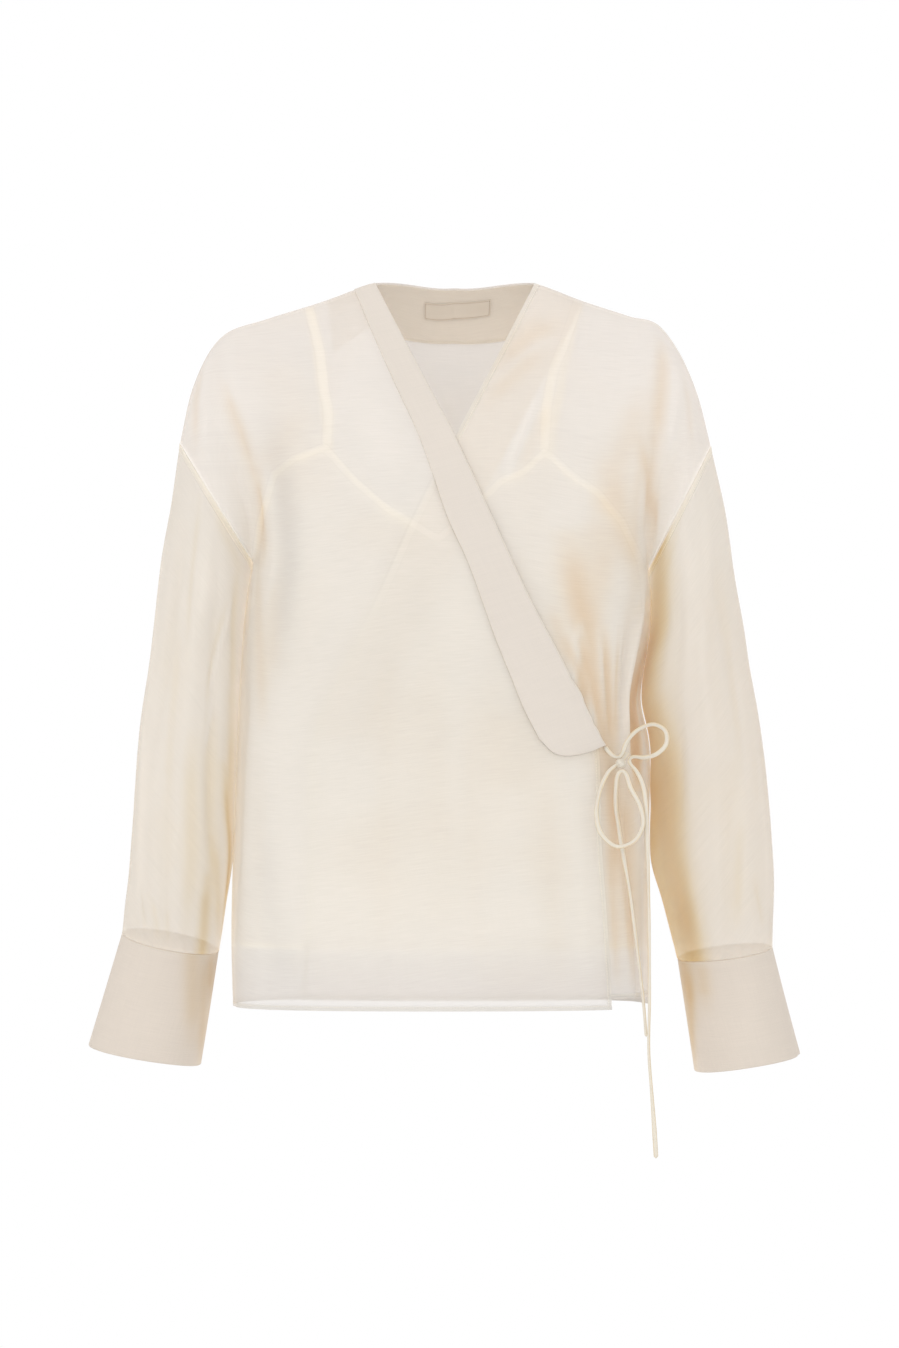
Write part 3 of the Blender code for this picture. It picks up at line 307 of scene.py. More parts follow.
# Folds of a sleeve: across is around it (0 at the outer edge, 175 at the inner, below 0 on the back), and
# down is along it, from 0 to 440.
SLEEVE_AROUND, SLEEVE_ALONG = 175.0, 440.0
SLEEVE_FOLDS = (
    (108, 44, 126, 350, 10, -4.0),
    (88, 22, 80, 240, 11, 3.0),
    (52, 52, 45, 270, 9, -2.5),
    (63, 265, 80, 430, 9, -3.0),
    (-79, 44, -96, 375, 12, -4.5),
    (-44, 155, -52, 420, 11, 3.5),
    (-122, 22, -131, 200, 11, -3.0),
)
# The sleeves' finer creases: their tone is a painted golden shade, below 0 a painted highlight.
SLEEVE_CREASES = {
    RIGHT: (
        (134, 23, 145, 150, 6.2, -1, 0.5), (145, 150, 173, 416, 8.8, -1.5, 0.85),
        (118, 183, 134, 412, 7.9, -1, 0.4), (93, 217, 105, 415, 8.8, -1, 0.45),
        (68, 14, 76, 134, 3.5, -0.8, 0.28), (63, 143, 70, 288, 6.2, 0, 0.2),
        (7, 56, 25, 213, 7, 1, -0.4), (25, 213, 40, 397, 7, 1, -0.4), (4, 95, 3, 235, 2.6, 0, 0.2),
        (3, 272, 16, 419, 3.5, 0, 0.2), (131, 54, 112, 157, 2.6, 1.2, -0.35),
        (124, 64, 106, 170, 2.6, -1.3, 0.35), (116, 164, 110, 217, 2.6, 1, -0.3),
        (95, 43, 89, 107, 8.8, 0.8, -0.25), (89, 6, 135, 18, 7, 0, 0.3),
        (60, 393, 72, 427, 3.5, -1.2, 0.25), (41, 382, 55, 425, 2.6, -1, 0.2),
        (79, 398, 85, 429, 2.6, -0.8, 0.2), (-134, 40, -150, 170, 6.5, -1.2, 0.4),
        (-150, 170, -166, 420, 9, -1.5, 0.6), (-105, 60, -92, 250, 8, 0.9, -0.25),
        (-70, 120, -60, 330, 7, -1.2, 0.3), (-30, 60, -38, 300, 8, 0.8, -0.25),
        (-112, 240, -104, 425, 8, -1.2, 0.35), (-50, 380, -56, 428, 3, -1, 0.2),
        (-84, 385, -88, 430, 3, -0.9, 0.2), (127, 307, 154, 412, 7, 0, 0.7),
        (139, 223, 175, 392, 7, 0, 1.5), (123, 355, 133, 470, 7.9, 0, 1.3),
    ),
    LEFT: (
        (129, 31, 131, 154, 7.9, -1.5, 0), (131, 154, 114, 290, 8.8, -1.5, 0.1),
        (114, 290, 128, 425, 7, -1, 0.2), (79, 0, 128, 26, 5.3, -1.5, 0.2),
        (90, 9, 102, 172, 7, 0.6, -0.15), (54, 6, 78, 132, 7.9, 0.8, -0.2),
        (45, 117, 51, 257, 7, 0, 0.12), (57, 315, 71, 407, 4.4, -1, 0.28),
        (48, 374, 38, 416, 2.6, -1, 0.25), (37, 156, 46, 299, 5.3, 0.6, -0.18),
        (25, 249, 29, 395, 3.5, 0, -0.2), (-130, 30, -142, 190, 7, -1.3, 0.5),
        (-146, 190, -160, 425, 9, -1.4, 0.7), (-96, 50, -104, 280, 7, 0.9, -0.25),
        (-62, 90, -70, 260, 6, -1.2, 0.3), (-34, 200, -28, 400, 8, 0.8, -0.2),
        (-108, 290, -98, 425, 7, -1.1, 0.35), (-60, 382, -66, 430, 3, -1, 0.22),
        (124, -30, 160, 110, 19, 0, 2.1), (160, 40, 158, 300, 22, 0, 3.3),
        (178, 60, 176, 330, 13, 0, 1.7), (136, 165, 124, 470, 13, 0, 2.2),
        (150, 240, 140, 440, 16, 0, 1.5), (148, 380, 134, 520, 20, 0, 1.2),
        (172, 290, 176, 470, 16, 0, 1.8), (-178, 40, -176, 470, 12, 0, 2.6),
        (-166, 120, -164, 440, 16, 0, 0.6),
    ),
}
# The same kind of rows on the cuffs, where down runs from 0 to 100, giving only painted shade and highlight.
CUFF_ALONG = 100.0
CUFF_SHADES = {
    RIGHT: (
        (135, 1, 160, 95, 8.8, 0, 0.6), (146, 1, 158, 33, 7, 0, 0.7), (164, 0, 168, 90, 12, 0, 0.4),
        (111, -20, 136, 72, 10.6, 0, 0.6), (-140, 2, -158, 90, 9, 0, 0.4),
    ),
    LEFT: (
        (137, 0, 167, 94, 7.9, 0, 0.75), (151, -12, 148, 44, 12.3, 0, 0.9),
        (160, 0, 170, 80, 13, 0, 0.7), (121, 0, 124, 35, 10.6, 0, 0.6), (65, 3, 82, 84, 12.3, 0, -0.1),
        (-138, 2, -160, 90, 9, 0, 0.5),
    ),
}
# Soft places of the fronts with painted neutral shade, darker without being yellower, as rows of the same
# kind.
FRONT_PAINTED_SHADES = ((-127, 122, -133, 333, 12.3, 0, -0.11), (-144, 472, -115, 627, 14.1, 0, -0.05))
FOLDS_FROM_ARMHOLE, FOLDS_FROM_CUFF = 0.1, 0.08

# The ties, as round cords, each by the points of its route. Beside the knot each one starts square to its
# surface.
KNOT_CENTRE = (151.0, -88.0, -421.5)
KNOT_SIZE = (10.0, 8.0, 9.0)
TIES = {
    "tie_a_lead": (
        (137.0, -90.0, -407.0), (140.5, -90.0, -411.5), (144.4, -88.5, -415.7),
        (147.0, -88.3, -418.3),
    ),
    "tie_a_loop": (
        (151.5, -90.8, -417.8), (151.9, -93.5, -415.0), (156.5, -98.0, -402.0),
        (168.0, -101.0, -391.0), (180.5, -102.5, -387.8), (189.5, -102.5, -393.5),
        (190.3, -101.5, -404.0), (182.5, -99.5, -413.0), (171.0, -97.0, -416.5),
        (161.0, -93.5, -415.6), (157.0, -91.4, -416.3), (154.6, -89.8, -418.5),
    ),
    "tie_a_tail": (
        (156.1, -89.1, -422.0), (159.6, -90.3, -422.8), (165.4, -95.0, -430.0),
        (170.2, -98.5, -441.5), (172.4, -100.0, -456.0), (173.4, -101.0, -480.0),
        (174.6, -102.0, -516.0), (175.4, -102.0, -570.0), (175.6, -102.0, -628.0),
        (175.2, -102.0, -675.0), (177.4, -102.0, -705.0), (179.6, -102.0, -735.0),
        (181.4, -102.0, -764.0),
    ),
    "tie_b_lead": (
        (157.3, -68.8, -412.0), (155.8, -74.5, -415.0), (153.1, -80.8, -418.5),
        (152.3, -84.1, -419.7),
    ),
    "tie_b_loop": (
        (146.6, -89.9, -423.3), (143.8, -91.7, -424.8), (137.2, -98.0, -434.0),
        (131.6, -102.0, -449.0), (129.6, -104.0, -466.0), (133.8, -105.0, -482.5),
        (147.5, -105.0, -493.6), (162.0, -104.5, -489.0), (170.0, -103.5, -474.5),
        (167.3, -102.0, -458.0), (159.5, -98.0, -443.0), (154.6, -92.8, -427.8),
        (153.2, -90.5, -424.9),
    ),
    "tie_b_tail": (
        (149.3, -89.2, -425.9), (148.3, -90.4, -429.2), (146.8, -94.0, -441.0),
        (146.4, -95.0, -456.0), (149.0, -95.0, -477.0), (152.6, -95.0, -499.0),
        (157.8, -95.0, -529.0), (162.4, -95.0, -561.0), (167.4, -95.0, -600.0),
        (170.4, -95.0, -627.0), (173.0, -95.0, -659.0),
    ),
}

def named(columns, rows):
    """A table's columns as arrays, by their names."""
    return {name: np.array(values, float) for name, values in zip(columns, zip(*rows))}


def smooth(t):
    t = np.clip(t, 0.0, 1.0)
    return t * t * (3.0 - 2.0 * t)


def curve(xs, ys, x):
    """A smooth curve through the points (xs, ys), read at x."""
    x = np.clip(np.asarray(x, float), xs[0], xs[-1])
    slopes = np.gradient(ys, xs)
    i = np.clip(np.searchsorted(xs, x, side="right") - 1, 0, len(xs) - 2)
    step = xs[i + 1] - xs[i]
    t = (x - xs[i]) / step
    return (
        ys[i] * (1 + 2 * t) * (1 - t) ** 2
        + ys[i + 1] * (3 - 2 * t) * t**2
        + step * (slopes[i] * t * (1 - t) ** 2 - slopes[i + 1] * t**2 * (1 - t))
    )


def noise(x, y, seed, size=64):
    """Smooth random values from -1 to 1, over a lattice of unit cells."""
    table = np.random.RandomState(seed).uniform(-1, 1, (size, size))
    column, row = np.floor(x).astype(int), np.floor(y).astype(int)
    fx, fy = smooth(x - column), smooth(y - row)
    column, row = column % size, row % size
    right, below = (column + 1) % size, (row + 1) % size
    top = table[row, column] * (1 - fx) + table[row, right] * fx
    bottom = table[below, column] * (1 - fx) + table[below, right] * fx
    return top * (1 - fy) + bottom * fy


def unit(vectors):
    return vectors / np.maximum(np.linalg.norm(vectors, axis=-1, keepdims=True), 1e-12)


def stack(x, y, z):
    return np.stack(np.broadcast_arrays(x, y, z), axis=-1).astype(float)


SHOULDER_LINE = named(SHOULDER_COLUMNS, SHOULDER)
TORSO_LINES = named(TORSO_COLUMNS, TORSO)
EDGE_LINES = named(EDGE_COLUMNS, EDGES)
BAND_LINE = named(BAND_COLUMNS, BAND)
LINING_LINE = named(LINING_TOP_COLUMNS, LINING_TOP)


def shoulder(name, s):
    return curve(SHOULDER_LINE["share"], SHOULDER_LINE[name], np.abs(s))


def torso(name, drop):
    return curve(TORSO_LINES["drop"], TORSO_LINES[name], drop)


def ridge(s):
    """The shoulder line, which the two faces share outside the neck."""
    x = np.where(s < 0, -shoulder("right_out", s), shoulder("left_out", s))
    drop = np.where(s < 0, shoulder("right_drop", s), shoulder("left_drop", s))
    return stack(x, RIDGE_Y * (1 - np.abs(s)), -drop)


def ring(face, s, z):
    """The body's section at height z, below the underarms."""
    right, left = torso("right_half", -z), torso("left_half", -z)
    angle = np.pi / 2 * np.abs(s) ** RING_SPREAD
    power = 2 / RING_POWER[face]
    x = (left - right) / 2 + np.sign(s) * (left + right) / 2 * np.sin(angle) ** power
    depth = torso("front" if face == FRONT else "back", -z)
    return stack(x, face * depth * np.clip(np.cos(angle), 0, 1) ** power, z)


def underarm_z(s):
    return -UNDERARM_DROP - UNDERARM_SKEW * np.asarray(s, float)


def upper_cloth(face, s, v):
    """The cloth between the shoulder line and the underarm level, as smooth curves down the body. Behind the
    neck the back begins on its neckline, part of the way down those curves."""
    start, end = ridge(s), ring(face, s, underarm_z(s))
    name = "front" if face == FRONT else "back"
    fall, reach = np.radians(shoulder(name + "_fall", s)), shoulder(name + "_reach", s)
    into_armhole = smooth((np.abs(s) - ARMHOLE_SHARE) / (1 - ARMHOLE_SHARE))
    leave = stack(0 * reach, face * reach * np.cos(fall), -reach * np.sin(fall))
    arrive = stack(0 * reach, -face * ARMHOLE_SETTLE * into_armhole, -SETTLE * (1 - into_armhole))
    if face == BACK:
        neckline = BACK_NECK_CUT * np.sqrt(np.clip(1 - (np.abs(s) / NECK_SHARE) ** 2, 0, 1))
        v = neckline + (1 - neckline) * v
    t = v[..., None]
    return (
        start * (1 + 2 * t) * (1 - t) ** 2
        + end * (3 - 2 * t) * t**2
        + leave * t * (1 - t) ** 2
        - arrive * t**2 * (1 - t)
    )


def plain_cloth(face, s, v):
    s, v = np.broadcast_arrays(np.asarray(s, float), np.asarray(v, float))
    top = underarm_z(s)
    lower = ring(face, s, top - (np.maximum(v, 1) - 1) * (HEM_DROP + top))
    return np.where((v < 1)[..., None], upper_cloth(face, s, np.minimum(v, 1)), lower)


def normals(surface, s, v, step=1e-3):
    """Outward normals of a surface given by two shares, from differences to either side."""
    ds = surface(np.minimum(s + step, 1), v) - surface(np.maximum(s - step, -1), v)
    dv = surface(s, np.minimum(v + step, 2)) - surface(s, np.maximum(v - step, 0))
    return unit(np.cross(dv, ds))


def outward(face, vectors):
    """Turns a face's normals so that they point out of the garment."""
    return vectors if face == FRONT else -vectors


def along_segment(a, b, x, y):
    """How far each point (x, y) lies from the segment a-b, and where along it, from 0 to 1."""
    run = np.array(b, float) - np.array(a, float)
    t = np.clip(((x - a[0]) * run[0] + (y - a[1]) * run[1]) / (run @ run), 0, 1)
    return np.hypot(x - a[0] - t * run[0], y - a[1] - t * run[1]), t


def fold_height(folds, x, y, key="height"):
    """The folds' height or painted shade at each point: a soft bell across each one, fading at its two ends.
    """
    total = np.zeros(np.broadcast(x, y).shape)
    for row in folds:
        fold = dict(zip(FOLD_COLUMNS, row))
        start, end = (fold["across_a"], fold["down_a"]), (fold["across_b"], fold["down_b"])
        away, t = along_segment(start, end, x, y)
        fade = FOLD_END + (1 - FOLD_END) * smooth(4 * t) * smooth(4 - 4 * t)
        amount = fold.get(key, -PAINTED_SHADE_PER_MM * fold["height"])
        total = total + amount * np.exp(-((away / fold["width"]) ** 2)) * fade
    return total


def level_at(drop):
    """The level at a drop: the reverse of cloth_down."""
    below = 1 + (drop - UNDERARM_DROP) / (HEM_DROP - UNDERARM_DROP)
    return np.where(drop < UNDERARM_DROP, drop / UNDERARM_DROP, below)


def cloth_down(v):
    """How far down the cloth a level lies, in the folds' millimetres."""
    return np.where(v < 1, UNDERARM_DROP * v, UNDERARM_DROP + (HEM_DROP - UNDERARM_DROP) * (v - 1))


def pulled_in(place):
    """The tie draws the cloth beside it in a little at the side, and the sleeve behind follows."""
    x, drop = place[..., 0], -place[..., 2]
    reach = np.where(drop < PULL_DROP, PULL_ABOVE, PULL_BELOW)
    near = smooth((x - PULL_FROM) / PULL_BLUR) * (1 - smooth((x - PULL_TO) / PULL_BLUR))
    moved = place.copy()
    moved[..., 0] -= PULL_IN * np.exp(-(((drop - PULL_DROP) / reach) ** 2)) * near
    return moved


def cloth(face, s, v):
    """The body's cloth with its folds."""
    s, v = np.broadcast_arrays(np.asarray(s, float), np.asarray(v, float))
    height = fold_height(BODY_FOLDS[face] + CREASES[face], 200 * s, cloth_down(v))
    height = height + UNEVEN * noise(200 * s / UNEVEN_REACH, cloth_down(v) / UNEVEN_REACH, face + 5)
    height = height * smooth((1 - np.abs(s)) / FOLDS_FROM_SIDE) * smooth(v / FOLDS_FROM_TOP)
    out = outward(face, normals(lambda a, b: plain_cloth(face, a, b), s, v))
    place = plain_cloth(face, s, v) + out * height[..., None]
    if face == BACK:
        middle = np.clip(1 - (s / NECK_SHARE) ** 2, 0, 1)
        place[..., 2] += NECK_RISE * middle * (1 - smooth(v / NECK_RISE_LEVEL))
    return pulled_in(place)


def cloth_normals(face, s, v):
    """The cloth's outward normals; along the shoulder seam both faces share the seam's own."""
    s, v = np.broadcast_arrays(np.asarray(s, float), np.asarray(v, float))
    found = outward(face, normals(lambda a, b: cloth(face, a, b), s, v))
    step = 1e-3
    run = ridge(np.minimum(s + step, 1)) - ridge(np.maximum(s - step, -1))
    seam = unit(stack(-run[..., 2], 0 * s, run[..., 0]))
    on_seam = (v < 1e-6) & (np.abs(s) > NECK_SHARE - 1e-3)
    return np.where(on_seam[..., None], seam, found)


def bisect(low, high, is_past, steps=40):
    """The place between low and high where is_past turns true, for arrays."""
    low, high = np.array(low, float), np.array(high, float)
    for _ in range(steps):
        middle = (low + high) / 2
        past = is_past(middle)
        low, high = np.where(past, low, middle), np.where(past, middle, high)
    return (low + high) / 2


def edge_across(name, drop):
    return curve(EDGE_LINES["drop"], EDGE_LINES[name], drop)


def share_of_line(line, v):
    """The share at which each level of the front meets a line, given as across for each drop."""

    def past(s):
        point = cloth(FRONT, s, v)
        return point[..., 0] > line(-point[..., 2])

    return bisect(np.full(len(v), -0.999), np.full(len(v), 0.999), past)


def find_on_cloth(face, across, drop, rounds=14):
    """The share and level of the point that lies at (across, drop) as seen from the front."""
    across, drop = np.broadcast_arrays(np.asarray(across, float), np.asarray(drop, float))
    s = np.clip(across / 200, -0.95, 0.95)
    v = level_at(drop)
    step = 1e-4
    for _ in range(rounds):
        here = cloth(face, s, v)
        by_s, by_v = cloth(face, s + step, v) - here, cloth(face, s, v + step) - here
        miss_x, miss_z = across - here[..., 0], -drop - here[..., 2]
        scale = step / (by_s[..., 0] * by_v[..., 2] - by_s[..., 2] * by_v[..., 0])
        s = np.clip(s + 0.9 * scale * (miss_x * by_v[..., 2] - miss_z * by_v[..., 0]), -0.999, 0.999)
        v = np.clip(v + 0.9 * scale * (miss_z * by_s[..., 0] - miss_x * by_s[..., 2]), 0.004, 1.999)
    return s, v


# ---- The shells ----

TONE_PATCHES, TONE_REACH = 0.07, 55.0  # soft random changes of tone, and the size of their patches
COVERED_BLUR = 6.0
STITCH_DRAW = 0.22  # how far a row of stitches draws the cloth in
BAND_TOP_LEVEL, BAND_ROWS, BAND_END_ROWS, BAND_UNITS = 0.006, 120, 26, 40.0
BAND_ROUND, BAND_PIPE, BAND_PIPE_DRAW = 1.3, 2.6, 0.22
FACING_ROWS, FACING_COLUMNS, FACING_HEM = 110, 14, 3.0
BACK_FACING_COLUMNS, BACK_FACING_ROWS = 60, 16
LABEL_COLUMNS, LABEL_ROWS, LABEL_WAVE, LABEL_WAVES, LABEL_THICK = 40, 14, 0.35, 2.4, 0.35
SLEEVE_CELLS = 112
UNDERARM_ALLOWANCE, CUFF_ALLOWANCE = 5.0, 2.0
# The side seams stand out a little beside the sleeves.
SIDE_LAP, SIDE_LAP_SHARE, SIDE_LAP_START = 3.0, 0.018, 0.06
# Painted light along the body's side edges.
SIDE_LIGHT, SIDE_LIGHT_SHARE, SIDE_LIGHT_FROM = 0.15, 0.06, 0.8
# Painted shade on the single cloth below the lining.
UNLINED_SHADE, UNLINED_FROM, UNLINED_BLUR = 0.045, 565.0, 25.0
# Painted light on the inner sides of the sleeves and cuffs.
INNER_LIGHT, INNER_LIGHT_REACH = 0.22, 28.0
# Painted shade towards the hems.
HEM_SHADES = ((0.045, 70.0), (0.09, 7.0))  # how much darker the cloth gets towards a hem, and over how much
PINK_TOP, PINK_TOP_REACH, PINK_HEM, PINK_HEM_REACH = 0.012, 300.0, 0.012, 80.0  # how much less green
# The painted shade's hue, by its tone: less green on the body, more green on the sleeves.
BODY_HOLLOW_PINK, SLEEVE_HOLLOW_PINK = 0.02, -0.018  # and how much less with each unit of tone
# Painted shade along the fronts' free edges.
EDGE_SHADE, EDGE_SHADE_REACH = 0.05, 5.0
# Painted light beside the armhole seams.
ARMHOLE_LIGHT, ARMHOLE_LIGHT_REACH = 0.10, 3.0
# Painted light on the sleeves just above the cuffs.
GATHER_LIGHT, GATHER_LIGHT_REACH = 0.10, 9.0
SHOULDER_PLY = 0.2  # how much an allowance that is pressed open shows
GATHER, GATHER_PITCH, GATHER_REACH = 0.35, 9.0, 9.0
CUFF_UNITS, CUFF_WAVE, CUFF_WAVE_PITCH, CUFF_FOLD = 100.0, 1.0, 120.0, 1.4
BACK_UNITS, FRONT_UNITS, HALF_WIDTH, NEAR_EDGE, NEAR_SIDE = 440.0, 400.0, 215, 8, 10
LINING_FRONT_COLUMNS, LINING_BACK_COLUMNS, LINING_UNITS = 86, 60, 400.0
LINING_BINDING, LINING_THICK, LINING_CELL = 6.0, 0.45, 9.0
STRAP_ROWS, STRAP_COLUMNS_ACROSS = 60, 5

TIE_CELL, TIE_WIDTH, TIE_DEPTH, TIE_SIDES = 1.6, 4.0, 1.7, 14
TIE_END, TIE_END_SHARE, TIE_CORNERS = 1.6, 0.2, 0.75
TIE_UNEVEN, TIE_UNEVEN_REACH = 0.06, 21
TIE_NARROWER, TIE_NARROW_FROM, TIE_NARROW_TO, TIE_NARROW_BLUR = 0.32, 480.0, 690.0, 50.0
# TIE_EDGE_SHADE is painted golden shade at the ties' folded edges.
TIE_EDGE_SHADE, TIE_ROUNDING = 1.0, 40
TIE_TWIST, TIE_TWIST_REACH, TIE_SMOOTHING = 55.0, 60.0, 60
TIE_PINCH, TIE_PINCH_REACH, TIE_PATH_STEP = 0.35, 9.0, 4
KNOT_ROWS, KNOT_SIDES, KNOT_PLACES = 40, 56, (0.9, 0.6)
# The strip that is wrapped round the knot, as shares of the knot's half size: across it in x and z, its half
# width and how far it stands out.
KNOT_RADIUS, KNOT_STRIP_ACROSS, KNOT_STRIP_WIDTH, KNOT_STRIP_RISE = 0.86, (0.86, 0.5), 0.42, 0.17
# Each tie's points inside the knot, between its lead and loop and between its loop and tail, and its length
# in metres.
TIE_KNOTTED = {
    "tie_a": ((((149.6, -88.2, -420.6), (151.6, -89.0, -420.6)), ((154.4, -88.2, -421.4),)), 0.47),
    "tie_b": ((((150.8, -87.0, -421.2), (148.8, -88.4, -422.4)), ((151.2, -88.6, -423.2),)), 0.44),
}

THREAD = 0.00058  # the weave's pitch, in metres
HEM_STITCH = 0.9  # how far a hem's stitches lie from its inner fold
STITCH_LINES = []  # each with its thread, its points and the cloth's normals there
STITCHES = {"cloth": (1.9, 2.5, 0.13), "label": (1.6, 1.95, 0.17)}  # a stitch's length, pitch and radius
STITCH_SIDES = 5
STITCH_ARCH = np.array([-0.6, 0.6, 0.6, -0.6])  # how far a stitch's points rise from the cloth, in radii
BAND_STITCH, CUFF_STITCH, LABEL_STITCH = 1.4, 1.6, 0.9
# The golden shade painted in hollows, and the painted highlight where the tone is below 0.
HOLLOW_SHADE = (0.94, 0.844, 0.689)  # what a tone of 1 leaves of red, green and blue
HIGHLIGHT = -0.13  # how much brighter a tone of -1 is, all colours alike
OPACITY_SLUB = 0.04
# Streaks in the cloth: their length and width in metres along the weft, and how fine they are.
WEFT, WARP = (0.022, 0.0008, 2.0), (0.0013, 0.040, 2.0)
PATCHES, ROWS = (0.110, 0.070, 3.0), (0.35, 0.006, 1.0)
WARP_SHARE, PATCH_TONE, ROW_TONE, WEAVE_TONE = 0.6, 0.04, 0.02, 0.012
WEAVE_HEIGHT, WEFT_HEIGHT, WARP_HEIGHT, BUMP_STRENGTH, BUMP_DEPTH = 0.25, 1.0, 0.4, 0.5, 0.00016
# What lies against the sheer cloth from inside is painted on it as crisp strips where it shows through, with
# painted shadow lines beside its edges: which edge, from and to how far inside that edge in millimetres, and
# how much brighter, below 0 darker.
LINING_EDGE, STRAP_EDGE, UNDER_EDGE = 0, 1, 2
LINING_STRIPS = (
    (LINING_EDGE, 0.0, 6.0, 0.022), (LINING_EDGE, -1.4, 0.0, -0.03), (LINING_EDGE, 6.0, 7.2, -0.022),
    (STRAP_EDGE, 0.0, 99.0, 0.008), (STRAP_EDGE, -1.3, 0.0, -0.035),
)
UNDER_STRIPS = (
    (UNDER_EDGE, 0.0, 6.0, 0.035), (UNDER_EDGE, 6.0, 400.0, 0.015), (UNDER_EDGE, -2.5, 0.0, -0.025),
)
SEEN_THROUGH = {"back_sheer": LINING_STRIPS, "front_sheer": LINING_STRIPS + UNDER_STRIPS}
SEEN_BLUR, FAR_INSIDE = 0.8, 500.0
# The drop where the left front's edge starts to fade from view, and over how much.
UNDER_EDGE_FADES = (235.0, 90.0)
# Each cloth's slot, colour, colour where doubled, opacity of each side, that where doubled, slubs, light let
# through, sheen and roughness.
BAND_COLOUR, CUFF_COLOUR = (0.75, 0.695, 0.64), (0.71, 0.645, 0.58)
LABEL_COLOUR, TIE_COLOUR = (0.79, 0.72, 0.635), (0.765, 0.722, 0.642)
# The three outer cloths are one organza in lit and shaded copies: the back's colour is darker, painted shade
# for the garment's inside, and the sleeves' a little darker than the front's.
LOOKS = {
    "front_sheer": (
        "outer_cloth", (0.90, 0.882, 0.852), (0.893, 0.876, 0.828), 0.44, 0.6, 0.03, 0.35, 0.1, 0.8,
    ),
    "back_sheer": (
        "outer_cloth", (0.835, 0.809, 0.772), (0.84, 0.812, 0.77), 0.6, 0.72, 0.03, 0.35, 0.1, 0.8,
    ),
    "sleeve_sheer": (
        "outer_cloth", (0.85, 0.816, 0.772), (0.868, 0.832, 0.768), 0.5, 0.64, 0.03, 0.4, 0.1, 0.8,
    ),
    "facing_single": (
        "facing_cloth", (0.885, 0.835, 0.765), (0.885, 0.835, 0.76), 0.62, 0.8, 0.04, 0.3, 0.1, 0.8,
    ),
    "lining_satin": (
        "lining_cloth", (0.91, 0.885, 0.855), (1.0, 0.975, 0.905), 0.75, 1, 0.02, 0.35, 0.15, 0.6,
    ),
    "band_double": ("band_cloth", BAND_COLOUR, BAND_COLOUR, 1, 1, 0.05, 0.15, 0.1, 0.8),
    "cuff_double": ("cuff_cloth", CUFF_COLOUR, CUFF_COLOUR, 1, 1, 0.06, 0.15, 0.1, 0.8),
    "label_woven": ("label_cloth", LABEL_COLOUR, LABEL_COLOUR, 1, 1, 0.03, 0.1, 0.1, 0.5),
    "tie_folded": ("tie_cloth", TIE_COLOUR, TIE_COLOUR, 1, 1, 0.05, 0.15, 0.1, 0.8),
}

CAMERA_LENS, CAMERA_PLACE = 212.4, (0.0022, -7.0, -0.344)
SUN_COLOUR = (1.0, 0.985, 0.96)
SUNS = (
    ("key", 0.9, 60, (-1.6, -3.0, 2.0)),
    ("fill", 0.4, 80, (2.4, -3.0, 0.6)),
    ("right side", 0.3, 70, (-3.0, -0.4, 0.8)),
    ("left side", 0.3, 70, (3.0, -0.4, 0.8)),
    ("behind", 0.6, 80, (0.6, 3.0, 2.2)),
)
ROOM_COLOUR, ROOM_LIGHT = (1.0, 0.99, 0.97), 0.8
FLOOR_RADIUS, FLOOR_HEIGHT, FLOOR_SIDES = 3.0, -1.3, 96

SHEER = 0.4  # thickness of one layer's shell
HEM_EXTRA = 0.22  # a doubled place stands out by this on each side
HEM_WIDTH, EDGE_HEM, SEAM_ALLOWANCE, ARMHOLE_ALLOWANCE = 4.0, 4.5, 5.0, 6.5
CELL = 4.2  # side of a mesh cell


def spread(total, starts, ends, cell=CELL):
    """Places from 0 to total, with the given distances from each end and about a cell between the rest."""
    first, last = np.array(starts, float), total - np.array(ends, float)[::-1]
    low = first[-1] if len(first) else 0.0
    high = last[0] if len(last) else total
    middle = np.linspace(low, high, max(2, round((high - low) / cell) + 1))
    return np.unique(np.concatenate([[0.0], first, middle, last, [total]]))


def band_lines(width):
    """Places that let a band of this width end sharply."""
    return [width * 0.5, width - 0.5, width, width + 0.8, width + 2.2]


def run_lengths(grid, axis):
    """How far each point lies along its grid line from the line's start, and from its end."""
    steps = np.linalg.norm(np.diff(grid, axis=axis), axis=-1)
    zero = np.zeros_like(np.take(steps, [0], axis=axis))
    along = np.concatenate([zero, np.cumsum(steps, axis=axis)], axis=axis)
    return along, np.take(along, [-1], axis=axis) - along


def within(distance, width):
    """1 inside a band along an edge, falling to 0 just outside it."""
    return 1 - smooth((distance - width) / 0.5)


def groove(distance, place, width=1.3):
    """A soft line at this distance from an edge, such as a row of stitches draws in."""
    return np.exp(-(((distance - place) / width) ** 2))


def add_piece(name, points, faces, material, nodes=(), places=None, values=None):
    """A piece of the scene, from points in millimetres. places has u and v for each corner of its faces, and
    values what its material reads, as a column or three for each point."""
    mesh = bpy.data.meshes.new(name)
    mesh.from_pydata((points.reshape(-1, 3) * MM).tolist(), [], faces)
    if places is not None:
        uv = mesh.uv_layers.new(name="cloth")
        uv.data.foreach_set("uv", (places * MM).astype(np.float32).ravel())
    for key, columns in (values or {}).items():
        kind, field = ("FLOAT", "value") if columns.shape[1] == 1 else ("FLOAT_VECTOR", "vector")
        mesh.attributes.new(key, kind, "POINT").data.foreach_set(field, columns.astype(np.float32).ravel())
    mesh.shade_smooth()
    mesh.materials.append(material)
    piece = bpy.data.objects.new(name, mesh)
    bpy.context.scene.collection.objects.link(piece)
    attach(piece, "root")
    if nodes:
        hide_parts(*nodes)
    return piece


